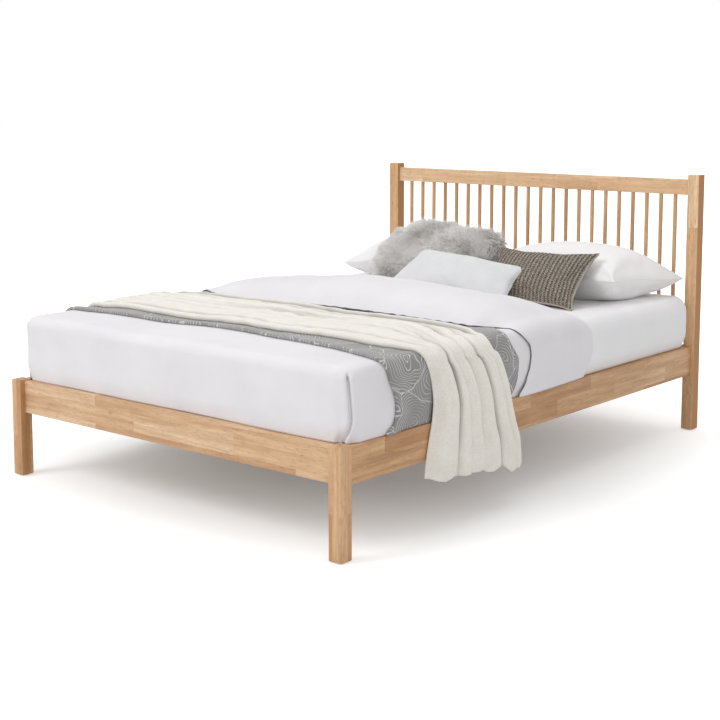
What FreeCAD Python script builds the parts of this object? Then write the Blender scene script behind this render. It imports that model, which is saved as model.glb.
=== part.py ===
# A double spindle bed in light hardwood with its mattress and bedding, as an assembly of its own pieces.
# Millimetres. +Z is up, +Y points to the headboard and +X to the right of someone who stands at the foot.
# The origin is on the floor, under the middle of the bed.
import FreeCAD, Part
import math
import os

V = FreeCAD.Vector

# Mattress, and how it sits in the frame
MATTRESS_WIDTH = 1350.0
MATTRESS_LENGTH = 1915.0  # over its borders
MATTRESS_DEPTH = 236.0
MATTRESS_CLEARANCE = 6.0  # to each side rail
MATTRESS_SWELL = 10.0  # how far it swells out over each side rail
MATTRESS_TO_FOOT_RAIL = 10.0
MATTRESS_TO_HEAD_POST = 8.0
MATTRESS_CORNER = 38.0  # radius of its upright edges
MATTRESS_ARRIS = 20.0  # radius of its top and bottom edges

# Posts, square in section
POST_SIDE = 45.0
POST_EASE = 2.5  # radius of every post edge
HEAD_POST_HEIGHT = 945.0
FOOT_POST_RISE = 4.0  # above the top of the rails
HEAD_POST_PROUD = 13.0  # outside the side rails
FOOT_POST_PROUD = 2.0
GLIDE_DIAMETER = 28.0
GLIDE_HEIGHT = 3.0

# Side, foot and headboard rails
RAIL_HEIGHT = 105.0
RAIL_THICKNESS = 24.0
RAIL_UNDERSIDE = 209.0
RAIL_EASE = 2.0
FOOT_RAIL_INSET = 18.0  # behind the front of the foot posts
TOP_RAIL_HEIGHT = 57.0
TOP_RAIL_DROP = 18.0  # below the top of the head posts
HEAD_RAIL_THICKNESS = 22.0
TENON_LENGTH = 20.0
TENON_THICKNESS = 10.0
TENON_SHOULDER = 10.0
GLUE_GAP = 0.1  # between a tenon, dowel or pin and its hole

# Spindles of the headboard
SPINDLE_COUNT = 22
SPINDLE_DIAMETER = 15.0
SPINDLE_SEAT = 15.0  # depth in each rail

# Slats, the ledgers that carry them and the middle support
SLAT_COUNT = 14
SLAT_WIDTH = 70.0
SLAT_THICKNESS = 18.0
SLAT_EASE = 2.0
SLAT_END_GAP = 2.0  # to the side rails
LEDGER_HEIGHT = 30.0
LEDGER_THICKNESS = 22.0
LEDGER_RISE = 6.0  # above the underside of the side rails
CENTRE_RAIL_HEIGHT = 36.0
CENTRE_RAIL_THICKNESS = 34.0
CENTRE_LEG_SIDE = 40.0
HANGER_STEEL = 2.0
HANGER_DEPTH = 30.0
HANGER_HEIGHT = 34.0
HANGER_WING = 20.0

# Fittings between the side rails and the posts
STUD_DIAMETER = 8.0
STUD_HOLE_SLACK = 0.5  # round the stud where it passes a rail end
POCKET_DIAMETER = 32.0
POCKET_DISTANCE = 45.0  # from the end of the rail to the middle of its pocket
POCKET_SLACK = 0.5  # between the nut and the floor of its pocket
NUT_ACROSS = 13.0
NUT_THICKNESS = 6.5
WASHER_THICKNESS = 7.0  # half-moon washer, at the middle of its curve
STUD_END = 3.0  # past the nut
POST_WEB = 2.5  # wood between a stud's end and a tenon in the same post
DOWEL_DIAMETER = 8.0
DOWEL_LENGTH = 28.0
DOWEL_IN_POST = 12.0
DOWEL_SPREAD = 60.0

# Screws, countersunk
SCREW_DIAMETER = 4.0
SCREW_HEAD_DIAMETER = 8.0
SCREW_HEAD_HEIGHT = 2.5
SLAT_SCREW_LENGTH = 35.0
LEDGER_SCREW_LENGTH = 36.0
LEDGER_SCREW_COUNT = 6
HANGER_SCREW_LENGTH = 16.0
SCREW_SUNK = 0.2

# Bedding layers
SOFT_GAP = 0.3  # between one soft piece and its neighbours
SHEET_THICKNESS = 2.5
SHEET_HEM = 8.0  # above the underside of the mattress
DUVET_THICKNESS = 12.0
DUVET_LOFT = 8.0  # how much thicker it is on top than at the sides
RUNNER_THICKNESS = 3.0
RUNNER_FOOT = 172.0  # from the foot end of the mattress to the runner
RUNNER_WIDTH = 615.0

# The part of the duvet that is turned back on itself
TURN_WIDTH = 420.0
TURN_FROM_HEAD = 1189.0  # from the head end of the mattress to its piped edge
TURN_HEIGHT = 66.0  # crown above the flat duvet
TURN_SIDE = 4.0  # proud of the flat duvet at the sides
TURN_FALL = 28.0  # from the middle of the crown down to its shoulders
TURN_SHOULDER = 80.0  # from its side to where its top begins
TURN_SHOULDER_DROP = 44.0
TURN_THIN = 0.35  # share of its side thickness that is left at its edges
TURN_FRONT_SWEEP = 135.0  # how much further from the foot the piped edge lies at the sides
TURN_HEAD_SWEEP = 120.0
TURN_SWEEP_BULGE = 45.0

# Throw
THROW_THICKNESS = 6.0
THROW_FOLDS = 7
THROW_TO_TURN = 12.0  # from the throw to the piped edge, on top
THROW_SPREAD = 460.0  # its width on top
THROW_GATHER = 115.0  # how much narrower it is where it turns over the right edge of the bed
THROW_GATHER_LEFT = 90.0
THROW_FLARE = 55.0  # how far the corner of the hem swings to the head
THROW_DROP = 178.0  # below the top of the rails
THROW_HEM_RISE = 30.0  # how much higher its hem is at the head side
THROW_SWELL = 12.0  # half depth of the hanging folds
THROW_TOP_SWELL = 3.5  # half depth of the folds on top

# Pillows and cushions: length, width and thickness, and how far the seams draw in
PILLOW_LENGTH = 640.0
PILLOW_WIDTH = 430.0
PILLOW_THICKNESS = 190.0
PILLOW_DRAW = 14.0
PILLOW_RIGHT = 356.0  # from the middle of the bed to the middle of the right pillow
PILLOW_LEFT = 285.0
PILLOW_FROM_HEAD = 214.0  # middle of a pillow from the head end of the mattress
CUSHION_DRAW = 12.0
CUSHION_SINK = 0.1  # share of their thickness by which the pillows press into the bed
FUR_LENGTH = 480.0
FUR_WIDTH = 330.0
FUR_THICKNESS = 145.0
FUR_DRAW = -14.0  # the pile hides the seams, and the outline bulges
PALE_LENGTH = 445.0
PALE_WIDTH = 220.0
PALE_THICKNESS = 100.0
KNIT_LENGTH = 400.0
KNIT_WIDTH = 268.0
KNIT_THICKNESS = 95.0

# How each cushion stands: degrees that it leans back from the bed, rolls in its own plane and
# turns about the upright, where its middle is across the bed, how far its lower seam is from the
# front of the pillows, and how high above the bed
FUR_LEAN = 38.0
FUR_ROLL = -6.0
FUR_TURN = 3.0
FUR_ACROSS = -122.0
FUR_FROM_PILLOWS = 165.0
FUR_RISE = 14.0
KNIT_LEAN = 41.0
KNIT_ROLL = 0.0
KNIT_TURN = 4.0
KNIT_ACROSS = 352.0
KNIT_FROM_PILLOWS = 172.0
KNIT_RISE = 2.0
PALE_LEAN = 37.0
PALE_ROLL = -5.5
PALE_TURN = 11.0
PALE_ACROSS = 117.0
PALE_FROM_PILLOWS = 285.0
PALE_RISE = 20.0

# Places worked out from the sizes above
MATTRESS_HALF = MATTRESS_WIDTH / 2
RAIL_INNER = MATTRESS_HALF + MATTRESS_CLEARANCE
RAIL_OUTER = RAIL_INNER + RAIL_THICKNESS
RAIL_TOP = RAIL_UNDERSIDE + RAIL_HEIGHT
FRAME_LENGTH = (
    FOOT_RAIL_INSET
    + RAIL_THICKNESS
    + MATTRESS_TO_FOOT_RAIL
    + MATTRESS_LENGTH
    + MATTRESS_TO_HEAD_POST
    + POST_SIDE
)
FOOT_END = -FRAME_LENGTH / 2
HEAD_END = FRAME_LENGTH / 2
FOOT_POST_BACK = FOOT_END + POST_SIDE
HEAD_POST_FRONT = HEAD_END - POST_SIDE
HEAD_POST_MIDDLE = HEAD_END - POST_SIDE / 2
FOOT_POST_OUTER = RAIL_OUTER + FOOT_POST_PROUD
HEAD_POST_OUTER = RAIL_OUTER + HEAD_POST_PROUD
FOOT_POST_INNER = FOOT_POST_OUTER - POST_SIDE
HEAD_POST_INNER = HEAD_POST_OUTER - POST_SIDE
FOOT_POST_HEIGHT = RAIL_TOP + FOOT_POST_RISE
FOOT_RAIL_FRONT = FOOT_END + FOOT_RAIL_INSET
FOOT_RAIL_BACK = FOOT_RAIL_FRONT + RAIL_THICKNESS
MATTRESS_FOOT = FOOT_RAIL_BACK + MATTRESS_TO_FOOT_RAIL
MATTRESS_HEAD = MATTRESS_FOOT + MATTRESS_LENGTH
HEAD_RAIL_FRONT = HEAD_POST_MIDDLE - HEAD_RAIL_THICKNESS / 2
HEAD_RAIL_BACK = HEAD_RAIL_FRONT + HEAD_RAIL_THICKNESS
TOP_RAIL_TOP = HEAD_POST_HEIGHT - TOP_RAIL_DROP
TOP_RAIL_UNDERSIDE = TOP_RAIL_TOP - TOP_RAIL_HEIGHT
LEDGER_UNDERSIDE = RAIL_UNDERSIDE + LEDGER_RISE
LEDGER_TOP = LEDGER_UNDERSIDE + LEDGER_HEIGHT
SLAT_TOP = LEDGER_TOP + SLAT_THICKNESS
CENTRE_RAIL_UNDERSIDE = LEDGER_TOP - CENTRE_RAIL_HEIGHT
MATTRESS_TOP = SLAT_TOP + MATTRESS_DEPTH
PILLOW_FRONT = MATTRESS_HEAD - PILLOW_FROM_HEAD - PILLOW_WIDTH / 2
RAIL_MIDDLE = (RAIL_INNER + RAIL_OUTER) / 2
STUD_LEVEL = RAIL_UNDERSIDE + RAIL_HEIGHT / 2
STUD_IN_POST = (POST_SIDE - TENON_THICKNESS) / 2 - POST_WEB
NUT_SEAT = POCKET_DIAMETER / 2 - WASHER_THICKNESS  # from the middle of a pocket to the flat of its washer

# Each bedding layer is the mattress's own shape, grown by one of these
SHEET_INSIDE = SOFT_GAP
SHEET_OUTSIDE = SHEET_INSIDE + SHEET_THICKNESS
DUVET_INSIDE = SHEET_OUTSIDE + SOFT_GAP
DUVET_OUTSIDE = DUVET_INSIDE + DUVET_THICKNESS
RUNNER_INSIDE = DUVET_OUTSIDE + SOFT_GAP
RUNNER_OUTSIDE = RUNNER_INSIDE + RUNNER_THICKNESS
BED_TOP = MATTRESS_TOP + SHEET_OUTSIDE
DUVET_TOP = MATTRESS_TOP + DUVET_LOFT + DUVET_OUTSIDE
HEM = RAIL_TOP + SOFT_GAP
SWELL_LEVEL = HEM + SHEET_OUTSIDE  # where the mattress begins to swell out
SWELL_HALF = MATTRESS_HALF + MATTRESS_SWELL
RUNNER_FRONT = MATTRESS_FOOT + RUNNER_FOOT
TURN_FRONT = MATTRESS_HEAD - TURN_FROM_HEAD
TURN_HEAD = TURN_FRONT + TURN_WIDTH
FAR = 2 * FRAME_LENGTH  # longer than anything that it cuts


def box(x0, x1, y0, y1, z0, z1):
    return Part.makeBox(x1 - x0, y1 - y0, z1 - z0, V(x0, y0, z0))


def rod(radius, length, start, direction):
    return Part.makeCylinder(radius, length, start, direction)


def mirrored(shape):
    return shape.mirror(V(0, 0, 0), V(1, 0, 0))


def write(node, *solids):
    shape = solids[0] if len(solids) == 1 else Part.makeCompound(list(solids))
    shape.exportStep("parts/" + node + ".step")


def eased(shape, radius, keep_square=""):
    """Rounds a box's edges, but not those that run along an axis named in keep_square."""
    edges = []
    for edge in shape.Edges:
        run = edge.valueAt(edge.LastParameter) - edge.valueAt(edge.FirstParameter)
        along = {"x": abs(run.x), "y": abs(run.y), "z": abs(run.z)}
        if max(along, key=along.get) not in keep_square:
            edges.append(edge)
    return shape.makeFillet(radius, edges)


def screw(tip_to_head, length, head_at):
    """A countersunk screw. tip_to_head is the direction from its tip to its head."""
    shank_length = length - SCREW_HEAD_HEIGHT
    tip = head_at - tip_to_head * length
    shank = rod(SCREW_DIAMETER / 2, shank_length, tip, tip_to_head)
    neck = tip + tip_to_head * shank_length
    head = Part.makeCone(SCREW_DIAMETER / 2, SCREW_HEAD_DIAMETER / 2, SCREW_HEAD_HEIGHT, neck, tip_to_head)
    return shank.fuse(head).removeSplitter()


def screw_hole(tip_to_head, length, head_at):
    """The hole that the same screw bites into, with its countersink."""
    tip = head_at - tip_to_head * (length + GLUE_GAP)
    radius = SCREW_DIAMETER / 2 + GLUE_GAP
    head_radius = SCREW_HEAD_DIAMETER / 2 + GLUE_GAP
    neck = head_at - tip_to_head * (SCREW_HEAD_HEIGHT + GLUE_GAP)
    bore = rod(radius, length + GLUE_GAP + SCREW_SUNK, tip, tip_to_head)
    sink = Part.makeCone(radius, head_radius, SCREW_HEAD_HEIGHT + GLUE_GAP, neck, tip_to_head)
    mouth = rod(head_radius, SCREW_SUNK + 1, head_at, tip_to_head)
    return bore.fuse([sink, mouth])


# Posts

def foot_post():
    """The right foot post."""
    blank = box(FOOT_POST_INNER, FOOT_POST_OUTER, FOOT_END, FOOT_POST_BACK, GLIDE_HEIGHT, FOOT_POST_HEIGHT)
    return eased(blank, POST_EASE)


def head_post():
    """The right head post."""
    blank = box(HEAD_POST_INNER, HEAD_POST_OUTER, HEAD_POST_FRONT, HEAD_END, GLIDE_HEIGHT, HEAD_POST_HEIGHT)
    return eased(blank, POST_EASE)


# Rails that end in tenons

def tenoned_rail(reach, y0, y1, z0, z1):
    """A rail from post to post, with a tenon at each end that enters the post."""
    body = eased(box(-reach, reach, y0, y1, z0, z1), RAIL_EASE, "yz")
    return body.fuse(tenon(reach, y0, y1, z0, z1, 0)).removeSplitter()


def tenon(reach, y0, y1, z0, z1, gap):
    """Both tenons of a rail as one bar. A gap makes the bar that cuts their mortises."""
    middle = (y0 + y1) / 2
    half = TENON_THICKNESS / 2 + gap
    end = reach + TENON_LENGTH + gap
    low = z0 + TENON_SHOULDER - gap
    high = z1 - TENON_SHOULDER + gap
    return box(-end, end, middle - half, middle + half, low, high)


FOOT_RAIL_AT = (FOOT_POST_INNER, FOOT_RAIL_FRONT, FOOT_RAIL_BACK, RAIL_UNDERSIDE, RAIL_TOP)
LOWER_RAIL_AT = (HEAD_POST_INNER, HEAD_RAIL_FRONT, HEAD_RAIL_BACK, RAIL_UNDERSIDE, RAIL_TOP)
TOP_RAIL_AT = (HEAD_POST_INNER, HEAD_RAIL_FRONT, HEAD_RAIL_BACK, TOP_RAIL_UNDERSIDE, TOP_RAIL_TOP)


# Spindles

def spindle_places():
    pitch = 2 * HEAD_POST_INNER / (SPINDLE_COUNT + 1)
    return [-HEAD_POST_INNER + pitch * (i + 1) for i in range(SPINDLE_COUNT)]


def spindle(x):
    low = V(x, HEAD_POST_MIDDLE, RAIL_TOP - SPINDLE_SEAT)
    return rod(SPINDLE_DIAMETER / 2, TOP_RAIL_UNDERSIDE - RAIL_TOP + 2 * SPINDLE_SEAT, low, V(0, 0, 1))


def spindle_seats(z0, z1):
    radius = SPINDLE_DIAMETER / 2 + GLUE_GAP
    return [rod(radius, z1 - z0, V(x, HEAD_POST_MIDDLE, z0), V(0, 0, 1)) for x in spindle_places()]


# Side rails and their fittings, at the right side. "end" is -1 at the foot and 1 at the head.

def rail_end(end):
    return HEAD_POST_FRONT if end > 0 else FOOT_POST_BACK


def stud(end, gap=0.0):
    start = rail_end(end) + end * (STUD_IN_POST + gap)
    length = STUD_IN_POST + POCKET_DISTANCE - NUT_SEAT + NUT_THICKNESS + STUD_END + 2 * gap
    return rod(STUD_DIAMETER / 2 + gap, length, V(RAIL_MIDDLE, start, STUD_LEVEL), V(0, -end, 0))


def pocket(end, gap=0.0):
    """The round recess in the inner face of the rail, deep enough for the nut."""
    mouth = V(RAIL_INNER - 1, rail_end(end) - end * POCKET_DISTANCE, STUD_LEVEL)
    depth = 1 + RAIL_THICKNESS / 2 + NUT_ACROSS / 2 + POCKET_SLACK
    return rod(POCKET_DIAMETER / 2 - gap, depth, mouth, V(1, 0, 0))


def nut_face(end):
    return rail_end(end) - end * (POCKET_DISTANCE - NUT_SEAT)


def half_moon(end):
    """A washer with a curved back, which lies against the wall of the pocket beside the post."""
    half = NUT_ACROSS / 2
    ys = sorted((nut_face(end), rail_end(end)))
    block = box(RAIL_MIDDLE - half, RAIL_MIDDLE + half, ys[0], ys[1], RAIL_UNDERSIDE, RAIL_TOP)
    return block.common(pocket(end, GLUE_GAP)).cut(stud(end, GLUE_GAP))


def nut(end):
    corner = NUT_ACROSS / 2 / math.cos(math.pi / 6)
    turns = [math.pi / 3 * i for i in range(7)]
    points = [
        V(RAIL_MIDDLE + corner * math.sin(turn), nut_face(end), STUD_LEVEL + corner * math.cos(turn))
        for turn in turns
    ]
    blank = Part.Face(Part.makePolygon(points)).extrude(V(0, -end * NUT_THICKNESS, 0))
    return blank.cut(stud(end, GLUE_GAP))


def dowels(end, gap=0.0):
    start = rail_end(end) + end * (DOWEL_IN_POST + gap)
    levels = (STUD_LEVEL - DOWEL_SPREAD / 2, STUD_LEVEL + DOWEL_SPREAD / 2)
    return [
        rod(DOWEL_DIAMETER / 2 + gap, DOWEL_LENGTH + 2 * gap, V(RAIL_MIDDLE, start, z), V(0, -end, 0))
        for z in levels
    ]


def side_rail():
    blank = box(RAIL_INNER, RAIL_OUTER, FOOT_POST_BACK, HEAD_POST_FRONT, RAIL_UNDERSIDE, RAIL_TOP)
    rail = eased(blank, RAIL_EASE, "xz")
    cuts = [screw_hole(*place) for place in ledger_screw_places()]
    for end in (-1, 1):
        cuts += [pocket(end), stud(end, STUD_HOLE_SLACK)] + dowels(end, GLUE_GAP)
    return rail.cut(cuts)


# Slats, ledgers and the middle support

def slat_places():
    """The middle of each slat, evenly spaced under the mattress."""
    first = MATTRESS_FOOT + SLAT_WIDTH / 2
    pitch = (MATTRESS_LENGTH - SLAT_WIDTH) / (SLAT_COUNT - 1)
    return [first + pitch * i for i in range(SLAT_COUNT)]


def slat_screw_places():
    x = RAIL_INNER - LEDGER_THICKNESS / 2
    return [(V(0, 0, 1), SLAT_SCREW_LENGTH, V(x, y, SLAT_TOP - SCREW_SUNK)) for y in slat_places()]


def ledger_screw_places():
    """Half way between two slats, so that they miss the slat screws."""
    middles = slat_places()
    step = (SLAT_COUNT - 2) / (LEDGER_SCREW_COUNT - 1)
    x = RAIL_INNER - LEDGER_THICKNESS + SCREW_SUNK
    z = LEDGER_UNDERSIDE + LEDGER_HEIGHT / 2
    places = []
    for i in range(LEDGER_SCREW_COUNT):
        slat = int(round(i * step))
        y = (middles[slat] + middles[slat + 1]) / 2
        places.append((V(-1, 0, 0), LEDGER_SCREW_LENGTH, V(x, y, z)))
    return places


def slats():
    reach = RAIL_INNER - SLAT_END_GAP
    holes = [screw_hole(*place) for place in slat_screw_places()]
    holes += [mirrored(hole) for hole in holes]
    row = []
    for y in slat_places():
        blank = box(-reach, reach, y - SLAT_WIDTH / 2, y + SLAT_WIDTH / 2, LEDGER_TOP, SLAT_TOP)
        near = [hole for hole in holes if abs(hole.BoundBox.Center.y - y) < SLAT_WIDTH / 2]
        row.append(eased(blank, SLAT_EASE, "yz").cut(near))
    return row


def ledger():
    """The right ledger, which lies on the inner face of its side rail."""
    y0, y1 = MATTRESS_FOOT, MATTRESS_HEAD
    bar = box(RAIL_INNER - LEDGER_THICKNESS, RAIL_INNER, y0, y1, LEDGER_UNDERSIDE, LEDGER_TOP)
    return bar.cut([screw_hole(*place) for place in slat_screw_places() + ledger_screw_places()])


def centre_rail():
    half = CENTRE_RAIL_THICKNESS / 2
    start = FOOT_RAIL_BACK + HANGER_STEEL
    end = HEAD_RAIL_FRONT - HANGER_STEEL
    bar = box(-half, half, start, end, CENTRE_RAIL_UNDERSIDE, LEDGER_TOP)
    return bar.cut(leg_dowel(GLUE_GAP))


def hanger_at(face, inward):
    """A steel stirrup on the inner face of an end rail. inward is the way from that face to the middle."""
    low = CENTRE_RAIL_UNDERSIDE - HANGER_STEEL
    inner = CENTRE_RAIL_THICKNESS / 2 + GLUE_GAP
    outer = inner + HANGER_STEEL

    def slab(x, depth0, depth1, z0, z1):
        ys = sorted((face + inward * depth0, face + inward * depth1))
        return box(-x, x, ys[0], ys[1], z0, z1)

    top = low + HANGER_HEIGHT
    stirrup = slab(outer, 0, HANGER_DEPTH, low, top)
    stirrup = stirrup.cut(slab(inner, -1, HANGER_DEPTH + 1, CENTRE_RAIL_UNDERSIDE, top + 1))
    wing_low = RAIL_UNDERSIDE
    plate = slab(outer + HANGER_WING, 0, HANGER_STEEL, wing_low, top)
    tongue = slab(outer, 0, HANGER_STEEL, low, top)
    holes = [rod(SCREW_DIAMETER / 2 + GLUE_GAP, 2 * HANGER_STEEL, V(x, face, z), V(0, inward, 0))
             for x, z in hanger_screw_spots()]
    return stirrup.fuse([plate, tongue]).removeSplitter().cut(holes)


def hanger_screw_spots():
    x = CENTRE_RAIL_THICKNESS / 2 + HANGER_STEEL + HANGER_WING / 2
    z = (RAIL_UNDERSIDE + CENTRE_RAIL_UNDERSIDE + HANGER_HEIGHT - HANGER_STEEL) / 2
    return [(-x, z), (x, z)]


def hanger_screws(face, inward, gap=0.0):
    """Round-headed screws. Their heads lie on the stirrup's wings."""
    seat = face + inward * HANGER_STEEL
    bodies = []
    for x, z in hanger_screw_spots():
        tip = V(x, seat - inward * (HANGER_SCREW_LENGTH + gap), z)
        shank = rod(SCREW_DIAMETER / 2 + gap, HANGER_SCREW_LENGTH + gap, tip, V(0, inward, 0))
        head = rod(SCREW_HEAD_DIAMETER / 2, SCREW_HEAD_HEIGHT, V(x, seat, z), V(0, inward, 0))
        bodies.append(shank.fuse(head).removeSplitter())
    return bodies


def centre_leg():
    half = CENTRE_LEG_SIDE / 2
    leg = eased(box(-half, half, -half, half, GLIDE_HEIGHT, CENTRE_RAIL_UNDERSIDE), POST_EASE, "xy")
    return leg.cut(leg_dowel(GLUE_GAP))


def leg_dowel(gap=0.0):
    """The steel pin that joins the middle leg to the middle rail."""
    half = CENTRE_RAIL_HEIGHT / 2 + gap
    return rod(STUD_DIAMETER / 2 + gap, 2 * half, V(0, 0, CENTRE_RAIL_UNDERSIDE - half), V(0, 0, 1))


def glides():
    feet = [
        V(side * middle, y, 0)
        for side in (-1, 1)
        for middle, y in (
            (FOOT_POST_OUTER - POST_SIDE / 2, FOOT_END + POST_SIDE / 2),
            (HEAD_POST_OUTER - POST_SIDE / 2, HEAD_POST_MIDDLE),
        )
    ]
    feet.append(V(0, 0, 0))
    return [rod(GLIDE_DIAMETER / 2, GLIDE_HEIGHT, foot, V(0, 0, 1)) for foot in feet]


# Mattress and the layers that follow its shape

def grown_block(half, low, high, grow, round_top):
    """A block as long as the mattress, rounded at its corners and round its top or its bottom."""
    middle = (low + high) / 2
    y0, y1 = MATTRESS_FOOT - grow, MATTRESS_HEAD + grow
    block = box(-half - grow, half + grow, y0, y1, low - grow, high + grow)
    block = block.makeFillet(MATTRESS_CORNER + grow, [e for e in block.Edges if is_upright(e)])
    rim = [e for e in block.Edges if not is_upright(e) and (e.BoundBox.Center.z > middle) == round_top]
    return block.makeFillet(MATTRESS_ARRIS + grow, rim)


def grown_mattress(grow, loft=0.0):
    """The mattress's shape, larger by "grow" all round and higher by "loft".

    It swells out over the side rails.
    """
    lower = grown_block(MATTRESS_HALF, SLAT_TOP, SWELL_LEVEL + MATTRESS_SWELL, grow, False)
    upper = grown_block(SWELL_HALF, SWELL_LEVEL, MATTRESS_TOP + loft, grow, True)
    return lower.fuse(upper).removeSplitter()


def is_upright(edge):
    run = edge.valueAt(edge.LastParameter) - edge.valueAt(edge.FirstParameter)
    return abs(run.z) > max(abs(run.x), abs(run.y))


def layer(inside, outside, loft, y0, y1, hem):
    """A skin round the mattress, from y0 to y1, that ends at the height "hem"."""
    skin = grown_mattress(outside, loft).cut(grown_mattress(inside, loft))
    return skin.common(box(-FAR, FAR, y0, y1, hem, FAR))


def fitted_sheet():
    return layer(SHEET_INSIDE, SHEET_OUTSIDE, 0, -FAR, FAR, SLAT_TOP + MATTRESS_ARRIS + SHEET_HEM)


def bed_runner():
    return layer(RUNNER_INSIDE, RUNNER_OUTSIDE, DUVET_LOFT, RUNNER_FRONT, RUNNER_FRONT + RUNNER_WIDTH, HEM)


def runner_space():
    front, back = RUNNER_FRONT - SOFT_GAP, RUNNER_FRONT + RUNNER_WIDTH + SOFT_GAP
    return layer(DUVET_OUTSIDE, RUNNER_OUTSIDE + SOFT_GAP, DUVET_LOFT, front, back, 0)


# Duvet, whose head end is turned back over itself

def turn_section(y, swell):
    """A section across the bed. swell runs from 0, thin, to 1, the full crown."""
    out = SWELL_HALF + SHEET_OUTSIDE
    flat = DUVET_TOP - DUVET_THICKNESS
    fullness = TURN_THIN + (1 - TURN_THIN) * swell
    side = out + (DUVET_THICKNESS + TURN_SIDE) * fullness
    hem_half = out + DUVET_THICKNESS * fullness
    crown = flat + (DUVET_THICKNESS + TURN_HEIGHT) * swell + 2 * SHEET_THICKNESS * (1 - swell)
    shoulder = crown - TURN_FALL * swell
    side_top = shoulder - TURN_SHOULDER_DROP
    waist = (HEM + side_top) / 2
    right = [V(hem_half, y, HEM), V(side, y, waist), V(side - 1, y, side_top)]
    # a quarter of an ellipse passes through this share of its two radii
    quarter = math.sin(math.pi / 4)
    corner_x = side - TURN_SHOULDER * (1 - quarter)
    corner = V(corner_x, y, side_top + TURN_SHOULDER_DROP * quarter)
    top = V(side - TURN_SHOULDER, y, shoulder)
    left = [V(-p.x, p.y, p.z) for p in right]
    left_corner = V(-corner.x, y, corner.z)
    left_top = V(-top.x, y, top.z)
    return Part.Wire([
        Part.LineSegment(left[0], right[0]).toShape(),
        Part.Arc(right[0], right[1], right[2]).toShape(),
        Part.Arc(right[2], corner, top).toShape(),
        Part.Arc(top, V(0, y, crown), left_top).toShape(),
        Part.Arc(left_top, left_corner, left[2]).toShape(),
        Part.Arc(left[2], left[1], left[0]).toShape(),
    ])


def turn_back():
    """The turned-back part as a solid block. Its middle is cut out with the mattress's shape later."""
    crown = ((0.0, 0.3), (0.04, 0.62), (0.16, 0.84), (0.4, 0.97))
    crown += ((0.62, 1.0), (0.82, 0.86), (0.94, 0.55), (1.0, 0.2))
    sections = [turn_section(TURN_FRONT + TURN_WIDTH * y, swell) for y, swell in crown]
    block = Part.makeLoft(sections, True, False)
    panel = ((0.1, 0.8), (0.5, 0.8), (1.0, 0.5))
    reach = TURN_WIDTH + TURN_HEAD_SWEEP
    sides = Part.makeLoft([turn_section(TURN_FRONT + reach * y, swell) for y, swell in panel], True, False)
    panel_top = DUVET_TOP - MATTRESS_ARRIS / 2
    block = block.fuse(sides.common(box(-FAR, FAR, -FAR, FAR, 0, panel_top)))
    block = block.cut(swept_edge(TURN_FRONT, TURN_FRONT_SWEEP, -1))
    return block.cut(swept_edge(TURN_HEAD, TURN_HEAD_SWEEP, 1)).cut(runner_space())


def swept_edge(y, sweep, way):
    """Trims the sides of the turned-back part along an arc that leans towards the head."""
    low, high = HEM - 1, DUVET_TOP + 1
    foot = V(-FAR / 2, y + sweep - TURN_SWEEP_BULGE, low)
    middle = V(-FAR / 2, y + sweep, (low + high) / 2)
    top = V(-FAR / 2, y + way, high)
    far_y = y + way * TURN_WIDTH
    outline = Part.Wire([
        Part.Arc(foot, middle, top).toShape(),
        Part.LineSegment(top, V(-FAR / 2, far_y, high)).toShape(),
        Part.LineSegment(V(-FAR / 2, far_y, high), V(-FAR / 2, far_y, low)).toShape(),
        Part.LineSegment(V(-FAR / 2, far_y, low), foot).toShape(),
    ])
    return Part.Face(outline).extrude(V(FAR, 0, 0))


def duvet():
    lower_layer = box(-FAR, FAR, -FAR, TURN_HEAD - DUVET_THICKNESS, HEM, FAR)
    body = grown_mattress(DUVET_OUTSIDE, DUVET_LOFT).common(lower_layer)
    whole = body.fuse(turn_back()).cut(grown_mattress(DUVET_INSIDE))
    post_top = box(
        FOOT_POST_INNER - SOFT_GAP, FOOT_POST_OUTER + SOFT_GAP,
        FOOT_END, FOOT_POST_BACK + SOFT_GAP, 0, FOOT_POST_HEIGHT + SOFT_GAP,
    )
    return whole.common(box(-FAR, FAR, -FAR, FAR, HEM, FAR)).cut([post_top, mirrored(post_top)])


# Throw: one folded strip from side to side

def throw_section(at, out_angle, y0, y1, swell, drop=0.0):
    """A closed band in a plane across the strip. Its folds are arcs that swing by "swell" to each side."""
    out = V(math.cos(math.radians(out_angle)), 0, math.sin(math.radians(out_angle)))
    spans = 2 * THROW_FOLDS
    weights = [1 + 0.3 * math.sin(2.4 * i) for i in range(spans)]
    total = sum(weights)

    def point(share, height):
        y = y0 + (y1 - y0) * share
        return at + out * height + V(0, y, drop * (share - 0.5))

    edges = {0.0: [], THROW_THICKNESS: []}
    for skin, arcs in edges.items():
        done = 0.0
        for i, weight in enumerate(weights):
            start, end = done / total, (done + weight) / total
            crest = 2 * swell if i % 2 else 0.0
            arcs.append(Part.Arc(
                point(start, swell + skin), point((start + end) / 2, crest + skin), point(end, swell + skin)
            ).toShape())
            done += weight
    inner, outer = edges[0.0], edges[THROW_THICKNESS]
    outside = swell + THROW_THICKNESS
    ends = [Part.LineSegment(point(share, swell), point(share, outside)).toShape() for share in (0.0, 1.0)]
    return Part.Wire(Part.__sortEdges__(inner + outer + ends))


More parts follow.
